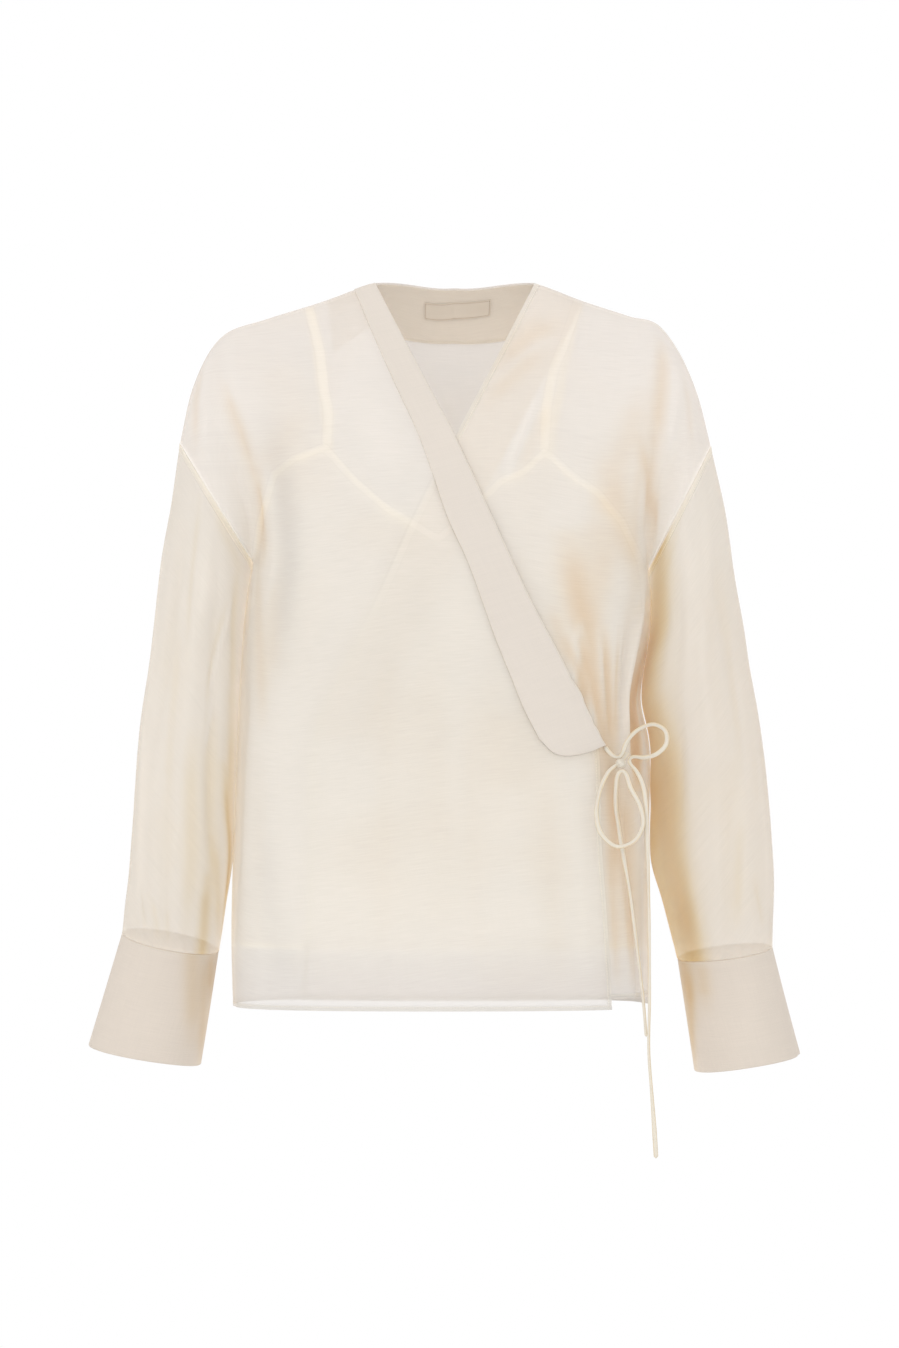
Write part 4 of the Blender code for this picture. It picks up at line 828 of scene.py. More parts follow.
def add_shell(node, outer, inner, maps, look, around=False, ending="_cloth"):
    """A closed shell between two grids of points, in place of a node. maps has the cloth's own u and v in
    millimetres, and by point ply, which is 1 where the cloth is doubled, and what else its material reads.
    With around, the columns run all round a tube, and u and v have one more."""
    rows, columns = outer.shape[:2]
    wide = columns + around

    def index(layer, i, j):
        return (layer * rows + i) * wide + j

    i, j = np.meshgrid(np.arange(rows - 1), np.arange(wide - 1), indexing="ij")
    corners = [(i, j), (i + 1, j), (i + 1, j + 1), (i, j + 1)]
    quads = [
        np.stack([index(layer, a, b) for a, b in order], axis=-1).reshape(-1, 4)
        for layer, order in enumerate((corners, corners[::-1]))
    ]
    along_row, along_column = np.arange(wide - 1), np.arange(rows - 1)
    rims = [(0 * along_row, along_row, 0, 1), (0 * along_row + rows - 1, along_row + 1, 0, -1)]
    if not around:
        first, last = 0 * along_column, 0 * along_column + wide - 1
        rims += [(along_column + 1, first, -1, 0), (along_column, last, 1, 0)]
    for a, b, down, across in rims:
        ends = [(0, a, b), (0, a + down, b + across), (1, a + down, b + across), (1, a, b)]
        quads.append(np.stack([index(*end) for end in ends], axis=-1))
    quads = np.concatenate(quads)
    a, b = rows // 2, columns // 2
    facing = np.cross(outer[a + 1, b] - outer[a, b], outer[a, b + 1] - outer[a, b])
    if facing @ (outer[a, b] - inner[a, b]) < 0:
        quads = quads[:, ::-1]
    layer, rest = np.divmod(quads, rows * wide)
    vertices = layer * rows * columns + rest // wide * columns + rest % wide % columns

    places = np.stack(np.broadcast_arrays(maps.pop("u"), maps.pop("v")), axis=-1).reshape(-1, 2)
    values = {}
    for key, value in maps.items():
        grid = np.broadcast_to(value, (rows, columns) + np.shape(value)[2:])
        values[key] = np.tile(grid.reshape(rows * columns, -1), (2, 1))
    piece = add_piece(
        node + ending, np.stack([outer, inner]), vertices.tolist(), woven(look), (node,),
        places[quads.reshape(-1) % (rows * wide)], values,
    )
    piece.data.set_sharp_from_angle(angle=math.radians(60))


def shell_on_cloth(place, out, lift, thick, ply, relief=0.0):
    """A shell's two sides: lift is how far its outer side lies from the cloth, and a doubled place is
    thicker."""
    extra = HEM_EXTRA * ply
    outer = place + out * (lift + relief + extra)[..., None]
    inner = place + out * (lift + relief - thick - extra)[..., None]
    return outer, inner


def stitch(outer, inner, border, distance, thread="cloth", around=False):
    """Notes a line of stitches on a shell's outer side, this far from one of its borders."""
    points, out = outer, unit(outer - inner)
    if border in ("first", "last"):
        points, out = points.transpose(1, 0, 2), out.transpose(1, 0, 2)
    if border in ("bottom", "last"):
        points, out = points[::-1], out[::-1]
    run, _ = run_lengths(points, 0)
    below = np.argmax(run > distance, axis=0)
    column = np.arange(run.shape[1])
    share = ((distance - run[below - 1, column]) / (run[below, column] - run[below - 1, column]))[:, None]
    line, normal = (
        grid[below - 1, column] * (1 - share) + grid[below, column] * share for grid in (points, out)
    )
    if around:
        line, normal = np.concatenate([line, line[:1]]), np.concatenate([normal, normal[:1]])
    STITCH_LINES.append((thread, line, normal))


def add_stitching(thread, name, material):
    """All the stitches of one thread as one piece: a short bent tube each, with its ends in the cloth."""
    length, pitch, radius = STITCHES[thread]
    points, faces, first = [], [], 0
    for kind, line, normal in STITCH_LINES:
        if kind != thread:
            continue
        along = run_lengths(line[:, None], 0)[0][:, 0]
        start = np.arange(pitch / 2, along[-1] - length, pitch)
        t = start[:, None] + length * np.linspace(0, 1, 4)
        place, out = (
            np.stack([np.interp(t, along, values[:, i]) for i in range(3)], axis=-1)
            for values in (line, normal)
        )
        out = unit(out)
        side = np.cross(out, unit(place[:, -1:] - place[:, :1]))
        place = place + out * (radius * STITCH_ARCH)[:, None]
        turn = 2 * np.pi * np.arange(STITCH_SIDES) / STITCH_SIDES
        ring = out[:, :, None] * np.cos(turn)[:, None] + side[:, :, None] * np.sin(turn)[:, None]
        tubes = place[:, :, None] + ring * radius
        corner = first + np.arange(tubes[..., 0].size).reshape(tubes.shape[:3])
        following = np.roll(corner, -1, axis=2)
        quads = np.stack([corner[:, :-1], following[:, :-1], following[:, 1:], corner[:, 1:]], axis=-1)
        faces += quads.reshape(-1, 4).tolist() + corner[:, 0, ::-1].tolist() + corner[:, -1].tolist()
        points.append(tubes.reshape(-1, 3))
        first += len(points[-1])
    add_piece(name, np.concatenate(points), faces, material)


def armhole_plane(side):
    """The normal of the armhole's plane, towards the body."""
    columns = named(SLEEVE_COLUMNS, SLEEVES[side])
    run = np.array([columns["in"][0] - columns["out"][0], columns["out_drop"][0] - columns["in_drop"][0]])
    run = run / np.hypot(*run)
    return np.array([side * run[1], 0.0, -run[0]])


def from_seams(face, s, v, outer, inner):
    """Keeps a panel's sides clear of the shoulder seam, the side seams and the armholes, as the solids
    are."""
    for grid in (outer, inner):
        grid[0, :, 1] += face * SEAM / 2
    for side in (RIGHT, LEFT):
        to_body = armhole_plane(side)
        at_armhole = (np.abs(s - side) < 1e-6) & (v <= 1 + 1e-6)
        across = np.minimum((inner - outer) @ to_body, 0)
        inner -= (at_armhole * across)[..., None] * to_body
        at_side = (np.abs(s - side) < 1e-6) & (v > 1 + 1e-6)
        lap = SIDE_LAP * np.exp(-(((1 - side * s) / SIDE_LAP_SHARE) ** 2)) * smooth((v - 1) / SIDE_LAP_START)
        for grid in (outer, inner):
            grid[..., 0] += side * lap
            grid += (at_armhole * ARMHOLE_SEAM / 2)[..., None] * to_body
            grid[..., 1] += at_side * face * SEAM / 2
    return outer, inner


def over_left_front(s, v):
    """How far the right front stands off: it rises onto the left front near that one's free edge."""
    place = cloth(FRONT, s, v)
    inside = place[..., 0] - edge_across("left_front", -place[..., 2])
    return OVERLAP_LIFT * smooth((inside + OVERLAP_START) / OVERLAP_RISE)


def levels(hem_rise):
    """The levels of a panel's rows, from the shoulder seam to its hem."""
    total = HEM_DROP - hem_rise
    down = spread(total, band_lines(SEAM_ALLOWANCE), band_lines(HEM_WIDTH))
    return level_at(down)


def front_shares(side, edge, v):
    """A front's shares for its rows: columns run from its free edge to its side seam."""
    start = share_of_line(lambda drop: edge_across(edge, drop), v)[:, None]
    width = HALF_WIDTH * (1.0 - side * start)
    lines = spread(FRONT_UNITS, band_lines(EDGE_HEM), band_lines(ARMHOLE_ALLOWANCE))
    near, far = lines <= NEAR_EDGE, lines >= FRONT_UNITS - NEAR_SIDE
    from_side = 1 - (FRONT_UNITS - lines) / width
    share = np.where(near, lines / width, np.where(far, from_side, lines / FRONT_UNITS))
    low, high = share[:, near].max(axis=1, keepdims=True), share[:, far].min(axis=1, keepdims=True)
    middle = ~near & ~far
    place = (lines[middle] - lines[near].max()) / (lines[far].min() - lines[near].max())
    share[:, middle] = low + (high - low) * place
    return start + (side - start) * share


def hem_ply(distances):
    """How far each point is in a doubled place, from (distance from the edge, width, where it holds) rows,
    and the soft line that the stitches draw in beside it."""
    ply = relief = 0.0
    for distance, width, holds in distances:
        ply = np.maximum(ply, within(distance, width) * holds)
        relief = relief - STITCH_DRAW * groove(distance, width + 0.8) * holds
    return ply, relief


# The painted golden shade and highlight of the body's folds and creases, with soft random changes of tone.
def body_shade_and_tone(face, s, v):
    across, down = 200 * s, cloth_down(v)
    patches = TONE_PATCHES * noise(across / TONE_REACH + 3, down / TONE_REACH, face + 21)
    return fold_height(BODY_FOLDS[face] + CREASES[face], across, down, "tone") + patches


def body_light(face, s, v):
    """Painted light on the body's side edges and painted neutral shade on soft places of the fronts, and
    painted shade makes the single cloth below the lining a little darker.
    """
    side = SIDE_LIGHT * np.exp(-(((1 - np.abs(s)) / SIDE_LIGHT_SHARE) ** 2))
    side = side * smooth((v - SIDE_LIGHT_FROM) / 0.2)
    soft = fold_height(FRONT_PAINTED_SHADES, 200 * s, cloth_down(v), "tone") if face == FRONT else 0.0
    return side + soft - UNLINED_SHADE * smooth((cloth_down(v) - UNLINED_FROM) / UNLINED_BLUR)


def inner_light(wrapped):
    """Painted light on the inner sides of the sleeves and cuffs."""
    return INNER_LIGHT * np.exp(-(((SLEEVE_AROUND - np.abs(wrapped)) / INNER_LIGHT_REACH) ** 2))


def distance_to(line, x, z):
    """How far points lie from a line of (x, z) points."""
    start, run = line[:-1], np.diff(line, axis=0)
    nearest = np.full(x.shape, np.inf)
    for (a, b), (dx, dz) in zip(start, run):
        t = np.clip(((x - a) * dx + (z - b) * dz) / (dx * dx + dz * dz + 1e-9), 0, 1)
        nearest = np.minimum(nearest, np.hypot(x - a - t * dx, z - b - t * dz))
    return nearest


def seen_through(face, place, under):
    """How far inside the lining's, strap's and under edge the cloth's points are, from FAR_INSIDE up so that
    0 means none, and how much of the under edge shows; these place the strips and shadow lines painted on the
    cloth where they show through."""
    x, z = place[..., 0], place[..., 2]
    top = next(group for group in lining_top() if group[0] == face)
    line = cloth(*top)[:, [0, 2]]
    line = line[np.argsort(line[:, 0])]
    sign = np.where(z < np.interp(x, line[:, 0], line[:, 1]), 1, -1)
    strap = np.full(x.shape, np.inf)
    for strap_face, _, route in STRAPS.values():
        if strap_face == face:
            columns = named(STRAP_COLUMNS, route)
            middle = cloth(face, columns["share"], columns["level"])[:, [0, 2]]
            strap = np.minimum(strap, distance_to(middle, x, z))
    inside, shows = 0 * x, 0 * x
    if under:
        slope = (edge_across("left_front", 1 - z) - edge_across("left_front", -1 - z)) / 2
        inside = FAR_INSIDE + (x - edge_across("left_front", -z)) / np.hypot(1, slope)
        shows = 1 - smooth((-z - UNDER_EDGE_FADES[0]) / UNDER_EDGE_FADES[1])
    lining = FAR_INSIDE + sign * distance_to(line, x, z)
    return {"edges": stack(lining, FAR_INSIDE + STRAP_WIDTH / 2 - strap, inside), "under_shows": shows}


def add_panel(node, face, s, v, lift, look, extra_tone=0.0):
    """A panel of the body, with its hems and the seam allowances at its sides and shoulder."""
    place, out = cloth(face, s, v), cloth_normals(face, s, v)
    (from_first, from_last), (from_top, from_hem) = run_lengths(place, 1), run_lengths(place, 0)
    first_side = (from_first, EDGE_HEM, 1.0) if face == FRONT else (from_first, SEAM_ALLOWANCE, v > 1)
    ply, relief = hem_ply((
        first_side, (from_last, SEAM_ALLOWANCE, v > 1), (from_top, SEAM_ALLOWANCE, SHOULDER_PLY),
        (from_hem, HEM_WIDTH, 1.0),
    ))
    outer, inner = from_seams(face, s, v, *shell_on_cloth(place, out, lift, SHEER, ply, relief))
    # Painted shade and highlight: golden in the folds, and lighter or darker along the sides, hems, armholes
    # and free edge.
    tone = body_shade_and_tone(face, s, v) + extra_tone
    light = body_light(face, s, v)
    for amount, reach in HEM_SHADES:
        light = light - amount * smooth(1 - from_hem / reach)
    near_sides = np.minimum(from_first, from_last) if face == BACK else from_last
    light = light + ARMHOLE_LIGHT * np.exp(-((near_sides / ARMHOLE_LIGHT_REACH) ** 2)) * (v < 1)
    if face == FRONT:
        light = light - EDGE_SHADE * smooth(1 - from_first / EDGE_SHADE_REACH)
    pink = PINK_TOP * (1 - smooth(cloth_down(v) / PINK_TOP_REACH))
    pink = pink + PINK_HEM * smooth(1 - from_hem / PINK_HEM_REACH) + BODY_HOLLOW_PINK * np.maximum(tone, 0)
    maps = {
        "u": from_first + place[:, :1, 0], "v": from_top - place[:1, :, 2], "ply": ply,
        "shade": stack(tone, light, pink), **seen_through(face, place, node == "front_right"),
    }
    add_shell(node, outer, inner, maps, look)
    stitch(outer, inner, "bottom", HEM_WIDTH - HEM_STITCH)
    if face == FRONT:
        stitch(outer, inner, "first", EDGE_HEM - HEM_STITCH)


def add_back():
    lines = spread(BACK_UNITS, band_lines(SEAM_ALLOWANCE), band_lines(SEAM_ALLOWANCE))
    s, v = np.meshgrid(lines / BACK_UNITS * 2 - 1, levels(BACK_HEM_RISE))
    add_panel("back", BACK, s, v, np.zeros(s.shape), "back_sheer")


def add_right_front():
    v = levels(0)
    s = front_shares(RIGHT, "right_front", v)
    v = np.broadcast_to(v[:, None], s.shape)
    add_panel("front_right", FRONT, s, v, over_left_front(s, v), "front_sheer")
    add_band()


def band_across(drop):
    return curve(BAND_LINE["drop"], BAND_LINE["across"], drop)


def rounded(distance, reach):
    """A quarter circle's rise from 0 to 1 over the reach from an edge."""
    return np.sqrt(np.clip(1 - (1 - np.clip(distance / reach, 0, 1)) ** 2, 0, 1))


def add_band():
    """The doubled band that follows the right front's neck edge and flares to a rounded end at the tie."""
    v = np.concatenate([[BAND_TOP_LEVEL], np.linspace(0.02, BAND_LEVEL, BAND_ROWS)])
    share = spread(BAND_UNITS, (0.6, 2.0), (2.0, 0.6)) / BAND_UNITS
    start = share_of_line(lambda drop: edge_across("right_front", drop), v)[:, None]
    line = share_of_line(band_across, v)[:, None]
    s = start + (line - start) * share
    end = named(BAND_END_COLUMNS, BAND_END)
    fine = np.linspace(0, len(BAND_END) - 1, BAND_END_ROWS)
    end = {key: curve(np.arange(len(BAND_END)), values, fine) for key, values in end.items()}
    neck_point = EDGE_LINES["right_front"][0]
    neck_across = neck_point + (BAND_CORNER[0] - neck_point) * end["inner_drop"] / BAND_CORNER[1]
    across = neck_across[:, None] + (end["outer_across"] - neck_across)[:, None] * share
    drop = end["inner_drop"][:, None] + (end["outer_drop"] - end["inner_drop"])[:, None] * share
    end_s, end_v = find_on_cloth(FRONT, across, drop)
    s = np.concatenate([s, end_s])
    v = np.concatenate([np.broadcast_to(v[:, None], (len(v), s.shape[1])), end_v])
    place, out = cloth(FRONT, s, v), cloth_normals(FRONT, s, v)
    (inner_side, outer_side), (down, up) = run_lengths(place, 1), run_lengths(place, 0)
    rim = np.minimum(np.minimum(inner_side, outer_side), up)
    half = BAND_CLOTH / 2
    middle = over_left_front(s, v) + SEAM + half
    swell = half * (0.35 + 0.65 * rounded(rim, BAND_ROUND))
    outer = place + out * (middle + swell - BAND_PIPE_DRAW * groove(rim, BAND_PIPE, 1.0))[..., None]
    inner = place + out * (middle - swell)[..., None]
    stitch(outer, inner, "first", BAND_STITCH)
    stitch(outer, inner, "last", BAND_PIPE + BAND_STITCH)
    add_shell("neck_band", outer, inner, {"u": inner_side, "v": down, "ply": 1.0}, "band_double")


def add_left_front():
    v = levels(LEFT_HEM_RISE)
    s = front_shares(LEFT, "left_front", v)
    v = np.broadcast_to(v[:, None], s.shape)
    place = cloth(FRONT, s, v)
    covered = smooth((edge_across("right_front", -place[..., 2]) - place[..., 0]) / COVERED_BLUR)
    add_panel("front_left", FRONT, s, v, np.zeros(s.shape), "front_sheer", COVERED_HIGHLIGHT * covered)

    v = np.concatenate([[BAND_TOP_LEVEL], np.linspace(0.02, FRONT_FACING_LEVEL, FACING_ROWS)])
    start = share_of_line(lambda drop: edge_across("left_front", drop), v)[:, None]
    line = share_of_line(lambda drop: edge_across("left_front", drop) + FRONT_FACING_WIDTH, v)[:, None]
    s = start + (line - start) * np.linspace(0, 1, FACING_COLUMNS)
    add_facing("front_facing", FRONT, s, np.broadcast_to(v[:, None], s.shape))


def add_facing(node, face, s, v):
    place, out = cloth(face, s, v), cloth_normals(face, s, v)
    (from_edge, from_inside), (down, up) = run_lengths(place, 1), run_lengths(place, 0)
    ply = within(from_inside if face == FRONT else up, FACING_HEM)
    lift = INSIDE_CLOTH - SHEER * 0.2
    outer = place + out * lift
    inner = place + out * (lift - SHEER * (1 + 0.4 * ply))[..., None]
    stitch(inner, outer, "last" if face == FRONT else "bottom", FACING_HEM - HEM_STITCH)
    add_shell(node, outer, inner, {"u": from_edge, "v": down, "ply": ply}, "facing_single")


def add_neck_inside():
    """The facing inside the back's neckline, and the bare woven label sewn to it."""
    s = np.linspace(-BACK_FACING_SHARE, BACK_FACING_SHARE, BACK_FACING_COLUMNS)
    s, v = np.meshgrid(s, np.concatenate([[0.004], np.linspace(0.015, BACK_FACING_LEVEL, BACK_FACING_ROWS)]))
    add_facing("back_facing", BACK, s, v * (1 + BACK_FACING_ENDS * (s / BACK_FACING_SHARE) ** 2))

    t, w = np.meshgrid(np.linspace(0, 1, LABEL_COLUMNS), np.linspace(0, 1, LABEL_ROWS))
    s = LABEL_SHARES[0] + (LABEL_SHARES[1] - LABEL_SHARES[0]) * t
    v = LABEL_LEVELS[0] + (LABEL_LEVELS[1] - LABEL_LEVELS[0]) * w
    v = v + LABEL_TILT * (0.5 - t) + LABEL_BEND * np.sin(2.2 * np.pi * t + 0.4)
    wave = LABEL_WAVE * np.sin(LABEL_WAVES * np.pi * t + 0.6) * (0.4 + 0.6 * w)
    place, out = cloth(BACK, s, v), cloth_normals(BACK, s, v)
    outer = place + out * (INSIDE_FACING + wave - LABEL_WAVE)[..., None]
    inner = outer - out * LABEL_THICK
    for border in ("top", "bottom", "first", "last"):
        stitch(inner, outer, border, LABEL_STITCH, "label")
    maps = {"u": run_lengths(place, 1)[0], "v": run_lengths(place, 0)[0], "ply": 1.0}
    add_shell("label", outer, inner, maps, "label_woven", ending="_tape")


def sleeve_values(rows, share):
    columns = named(SLEEVE_COLUMNS, rows)
    return {name: curve(columns["share"], columns[name], share) for name in SLEEVE_COLUMNS[1:]}


def oval(side, values, turn):
    """A point of a sleeve's section: turn runs from 0 at the outer edge over the front to 1 and back to 2."""
    turn = np.mod(turn, 2)
    t = np.where(turn > 1, 2 - turn, turn)
    front = np.where(turn > 1, -1.0, 1.0)
    inwards = t * t * (3 - 2 * t)
    out = values["out"] + (values["in"] - values["out"]) * inwards
    drop = values["out_drop"] + (values["in_drop"] - values["out_drop"]) * inwards
    bulge = values["reach_out"] * t * (1 - t) ** 2 + values["reach_in"] * t**2 * (1 - t)
    hang = 4 * t * (1 - t) * front * values["hang"]
    return stack(side * out, values["middle_y"] - front * bulge, -drop - hang)


def plain_sleeve(side, share, turn):
    return oval(side, sleeve_values(SLEEVES[side], share), turn)


def tube_normals(surface, side, share, turn, step=2e-3):
    down, up = np.minimum(share + step, 1), np.maximum(share - step, 0)
    along = surface(side, down, turn) - surface(side, up, turn)
    around = surface(side, share, turn + step) - surface(side, share, turn - step)
    return unit(side * np.cross(around, along))


def wrapped_around(turn):
    """How far round a sleeve a turn is in the folds' millimetres, below 0 on its back half."""
    return SLEEVE_AROUND * (np.mod(turn + 1, 2) - 1)


def sleeve(side, share, turn):
    """The sleeve with its folds and creases."""
    share, turn = np.broadcast_arrays(share, turn)
    around, along = wrapped_around(turn), SLEEVE_ALONG * share
    height = fold_height(SLEEVE_FOLDS + SLEEVE_CREASES[side], around, along)
    swing = SLEEVE_AROUND * np.cos(np.pi * around / SLEEVE_AROUND)
    height = height + UNEVEN * noise(swing / UNEVEN_REACH + 7, along / UNEVEN_REACH, side + 12)
    height = height * smooth(share / FOLDS_FROM_ARMHOLE) * smooth((1 - share) / FOLDS_FROM_CUFF)
    out = tube_normals(plain_sleeve, side, share, turn)
    return pulled_in(plain_sleeve(side, share, turn) + out * height[..., None])


def in_ring_plane(rings, row, vectors):
    """Turns a row's offsets into its ring's own plane, keeping their length."""
    ring_points = rings[row]
    quarter = len(ring_points) // 4
    first, second, third, fourth = ring_points[[0, quarter, 2 * quarter, 3 * quarter]]
    plane = unit(np.cross(first - third, second - fourth))
    length = np.linalg.norm(vectors[row], axis=-1, keepdims=True)
    flat = vectors[row] - (vectors[row] @ plane)[:, None] * plane
    vectors[row] = unit(flat) * length


def cuff(side, share, turn):
    """The cuff runs straight from the sleeve's end to its own."""
    top = sleeve_values(SLEEVES[side], np.ones(1))
    bottom = dict(zip(SLEEVE_COLUMNS[1:], CUFF_ENDS[side]))
    return oval(side, {key: top[key] + (bottom[key] - top[key]) * share for key in bottom}, turn)


def tube_grid(lines):
    """Shares down a tube for each of its rows, and turns round it for each of its columns."""
    return np.meshgrid(lines, 2 * np.arange(SLEEVE_CELLS) / SLEEVE_CELLS, indexing="ij")


def tube_maps(grid):
    """u and v of a tube, with one column more than the grid, and how far its points lie from its top and its
    end."""
    closed = np.concatenate([grid, grid[:, :1]], axis=1)
    around, down, up = run_lengths(closed, 1)[0], *run_lengths(closed, 0)
    return {"u": around, "v": down}, down[:, :-1], up[:, :-1]


def add_sleeve(side, name):
    share, turns = tube_grid(
        spread(SLEEVE_ALONG, band_lines(ARMHOLE_ALLOWANCE), band_lines(SEAM_ALLOWANCE)) / SLEEVE_ALONG
    )
    outer = sleeve(side, share, turns)
    maps, down, up = tube_maps(outer)
    seam = np.abs(turns - 1) * SLEEVE_AROUND
    ply, relief = hem_ply((
        (down, ARMHOLE_ALLOWANCE, 1.0), (up, CUFF_ALLOWANCE, SHOULDER_PLY), (seam, UNDERARM_ALLOWANCE, 1.0),
    ))
    gathers = GATHER * np.sin(2 * np.pi * maps["u"][:, :-1] / GATHER_PITCH) * np.exp(-up / GATHER_REACH)
    inwards = -tube_normals(sleeve, side, share, turns)
    in_ring_plane(outer, 0, inwards)
    in_ring_plane(outer, -1, inwards)
    outer[0] -= armhole_plane(side) * ARMHOLE_SEAM / 2
    inner = outer + inwards * (SHEER + HEM_EXTRA * ply - relief - gathers)[..., None]
    outer = outer - inwards * (HEM_EXTRA * ply + relief + gathers)[..., None]
    # Painted golden shade and highlight in the sleeve's creases, and painted light on its inner side, above
    # the cuff and by the armhole.
    around, along = wrapped_around(turns), SLEEVE_ALONG * share
    tone = fold_height(SLEEVE_FOLDS + SLEEVE_CREASES[side], around, along, "tone")
    tone = tone + TONE_PATCHES * noise(np.abs(around) / TONE_REACH, along / TONE_REACH, side + 27)
    light = inner_light(around) + GATHER_LIGHT * np.exp(-((up / GATHER_LIGHT_REACH) ** 2))
    light = light + ARMHOLE_LIGHT * np.exp(-((down / ARMHOLE_LIGHT_REACH) ** 2))
    maps.update(ply=ply, shade=stack(tone, light, SLEEVE_HOLLOW_PINK * np.maximum(tone, 0)))
    stitch(outer, inner, "top", ARMHOLE_ALLOWANCE - HEM_STITCH, around=True)
    add_shell("sleeve_" + name, outer, inner, maps, "sleeve_sheer", around=True)


def add_cuff(side, name):
    share, turns = tube_grid(spread(CUFF_UNITS, (0.8, 2.5), (3.0, 1.2, 0.5), 6.0) / CUFF_UNITS)
    place = cuff(side, share, turns)
    inwards = -tube_normals(cuff, side, share, turns)
    in_ring_plane(place, 0, inwards)
    maps, down, up = tube_maps(place)
    flutter = CUFF_WAVE * np.sin(2 * np.pi * maps["u"][:, :-1] / CUFF_WAVE_PITCH + side) * share**1.5
    body = CUFF_CLOTH / 2
    half = body * (0.25 + 0.75 * rounded(up, CUFF_FOLD) * rounded(down, CUFF_FOLD))
    middle = place + inwards * (body + flutter)[..., None]
    middle[0] += unit(place[-1].mean(axis=0) - place[0].mean(axis=0)) * SEAM
    outer, inner = middle - inwards * half[..., None], middle + inwards * half[..., None]
    # Painted golden shade on the cuff's inner side, and painted light there.
    around = wrapped_around(turns)
    tone = fold_height(CUFF_SHADES[side], around, CUFF_ALONG * share, "tone")
    maps.update(ply=1.0, shade=stack(tone, inner_light(around), 0.0))
    stitch(outer, inner, "top", CUFF_STITCH, around=True)
    stitch(outer, inner, "bottom", CUFF_STITCH, around=True)
    add_shell("cuff_" + name, outer, inner, maps, "cuff_double", around=True)


def lining_surface(face, s, v, offset):
    """The lining follows the back's folds. On the front it hangs plainly, but for where the tie pulls the
    cloth in."""
    if face == BACK:
        return cloth(BACK, s, v) + cloth_normals(BACK, s, v) * offset[..., None]
    offset = offset + fold_height([LINING_PULL], 200 * s, cloth_down(v))
    out = normals(lambda a, b: plain_cloth(FRONT, a, b), s, v)
    return pulled_in(plain_cloth(FRONT, s, v) + out * offset[..., None])


def lining_top():
    """The lining's top edge all round, in finer steps than the solid's: (face, shares, levels) of each
    face."""
    places = np.arange(len(LINING_TOP))
    fine = np.linspace(0, len(LINING_TOP) - 1, LINING_FRONT_COLUMNS)
    across, drop = (np.interp(fine, places, LINING_LINE[key]) for key in LINING_TOP_COLUMNS)
    front_s, front_v = find_on_cloth(FRONT, across, drop)
    front_s[0], front_s[-1] = RIGHT, LEFT
    side_v = 1 + (LINING_LINE["drop"][[0, -1]] - UNDERARM_DROP) / (HEM_DROP - UNDERARM_DROP)
    front_v[0], front_v[-1] = side_v
    # Beside the side seams the places come from their neighbours.
    for ends in (slice(None, 4), slice(-4, None)):
        for line in (front_s, front_v):
            line[ends] = np.linspace(line[ends][0], line[ends][-1], 4)
    back_s = np.linspace(LEFT, RIGHT, LINING_BACK_COLUMNS + 2)[1:-1]
    back_top = LINING_BACK_TOP + (LINING_LINE["drop"][0] - LINING_BACK_TOP) * np.abs(back_s) ** 3
    back_v = bisect(0 * back_s, 0 * back_s + 1.9, lambda v: -cloth(BACK, back_s, v)[..., 2] > back_top)
    return (FRONT, front_s, front_v), (BACK, back_s, back_v)


def add_lining():
    hem_v = 1 + (LINING_HEM - UNDERARM_DROP) / (HEM_DROP - UNDERARM_DROP)
    lines = spread(LINING_UNITS, band_lines(LINING_BINDING), band_lines(HEM_WIDTH), LINING_CELL)
    share = lines[:, None] / LINING_UNITS
    layers = []
    for offset in (INSIDE_LINING, INSIDE_LINING - LINING_THICK):
        parts = []
        for face, s, top in lining_top():
            v = top + (hem_v - top) * share
            parts.append(lining_surface(face, np.broadcast_to(s, v.shape), v, np.full(v.shape, offset)))
        layers.append(np.concatenate(parts, axis=1))
    outer, inner = layers
    maps, down, up = tube_maps(outer)
    ply, relief = hem_ply(((down, LINING_BINDING, 1.0), (up, HEM_WIDTH, 1.0)))
    out = unit(outer - inner)
    outer, inner = outer + out * (0.2 * ply + 0.5 * relief)[..., None], inner - out * (0.2 * ply)[..., None]
    stitch(outer, inner, "top", LINING_BINDING - HEM_STITCH, around=True)
    stitch(outer, inner, "bottom", HEM_WIDTH - HEM_STITCH, around=True)
    add_shell("lining", outer, inner, {**maps, "ply": ply}, "lining_satin", around=True)


def add_straps():
    for node, (face, top_offset, route) in STRAPS.items():
        columns = named(STRAP_COLUMNS, route)
        t = np.linspace(0, len(route) - 1, STRAP_ROWS)
        s, v = (curve(np.arange(len(route)), columns[key], t)[:, None] for key in STRAP_COLUMNS)
        step = 1e-3
        per_share = np.linalg.norm(cloth(face, s + step, v) - cloth(face, s, v), axis=-1) / step
        side = np.linspace(-0.5, 0.5, STRAP_COLUMNS_ACROSS)
        s = s + STRAP_WIDTH / per_share * side
        v = np.broadcast_to(v, s.shape)
        offset = INSIDE_LINING + (top_offset - INSIDE_LINING) * (t[:, None] / t[-1]) ** 2
        place, out = cloth(face, s, v), cloth_normals(face, s, v)
        half = LINING_CLOTH / 2
        crown = half * (1 - 0.5 * np.abs(2 * side) ** 3)
        outer = place + out * (offset - half + crown)[..., None]
        inner = place + out * (offset - half - crown)[..., None]
        maps = {"u": run_lengths(place, 1)[0], "v": run_lengths(place, 0)[0], "ply": 1.0}
        add_shell(node, outer, inner, maps, "lining_satin", ending="_tape")


# ---- The ties ----


def near_knot(route):
    """1 at the knot, falling to 0 away from it."""
    return np.exp(-((np.linalg.norm(route - np.array(KNOT_CENTRE), axis=1) / TIE_PINCH_REACH) ** 2))


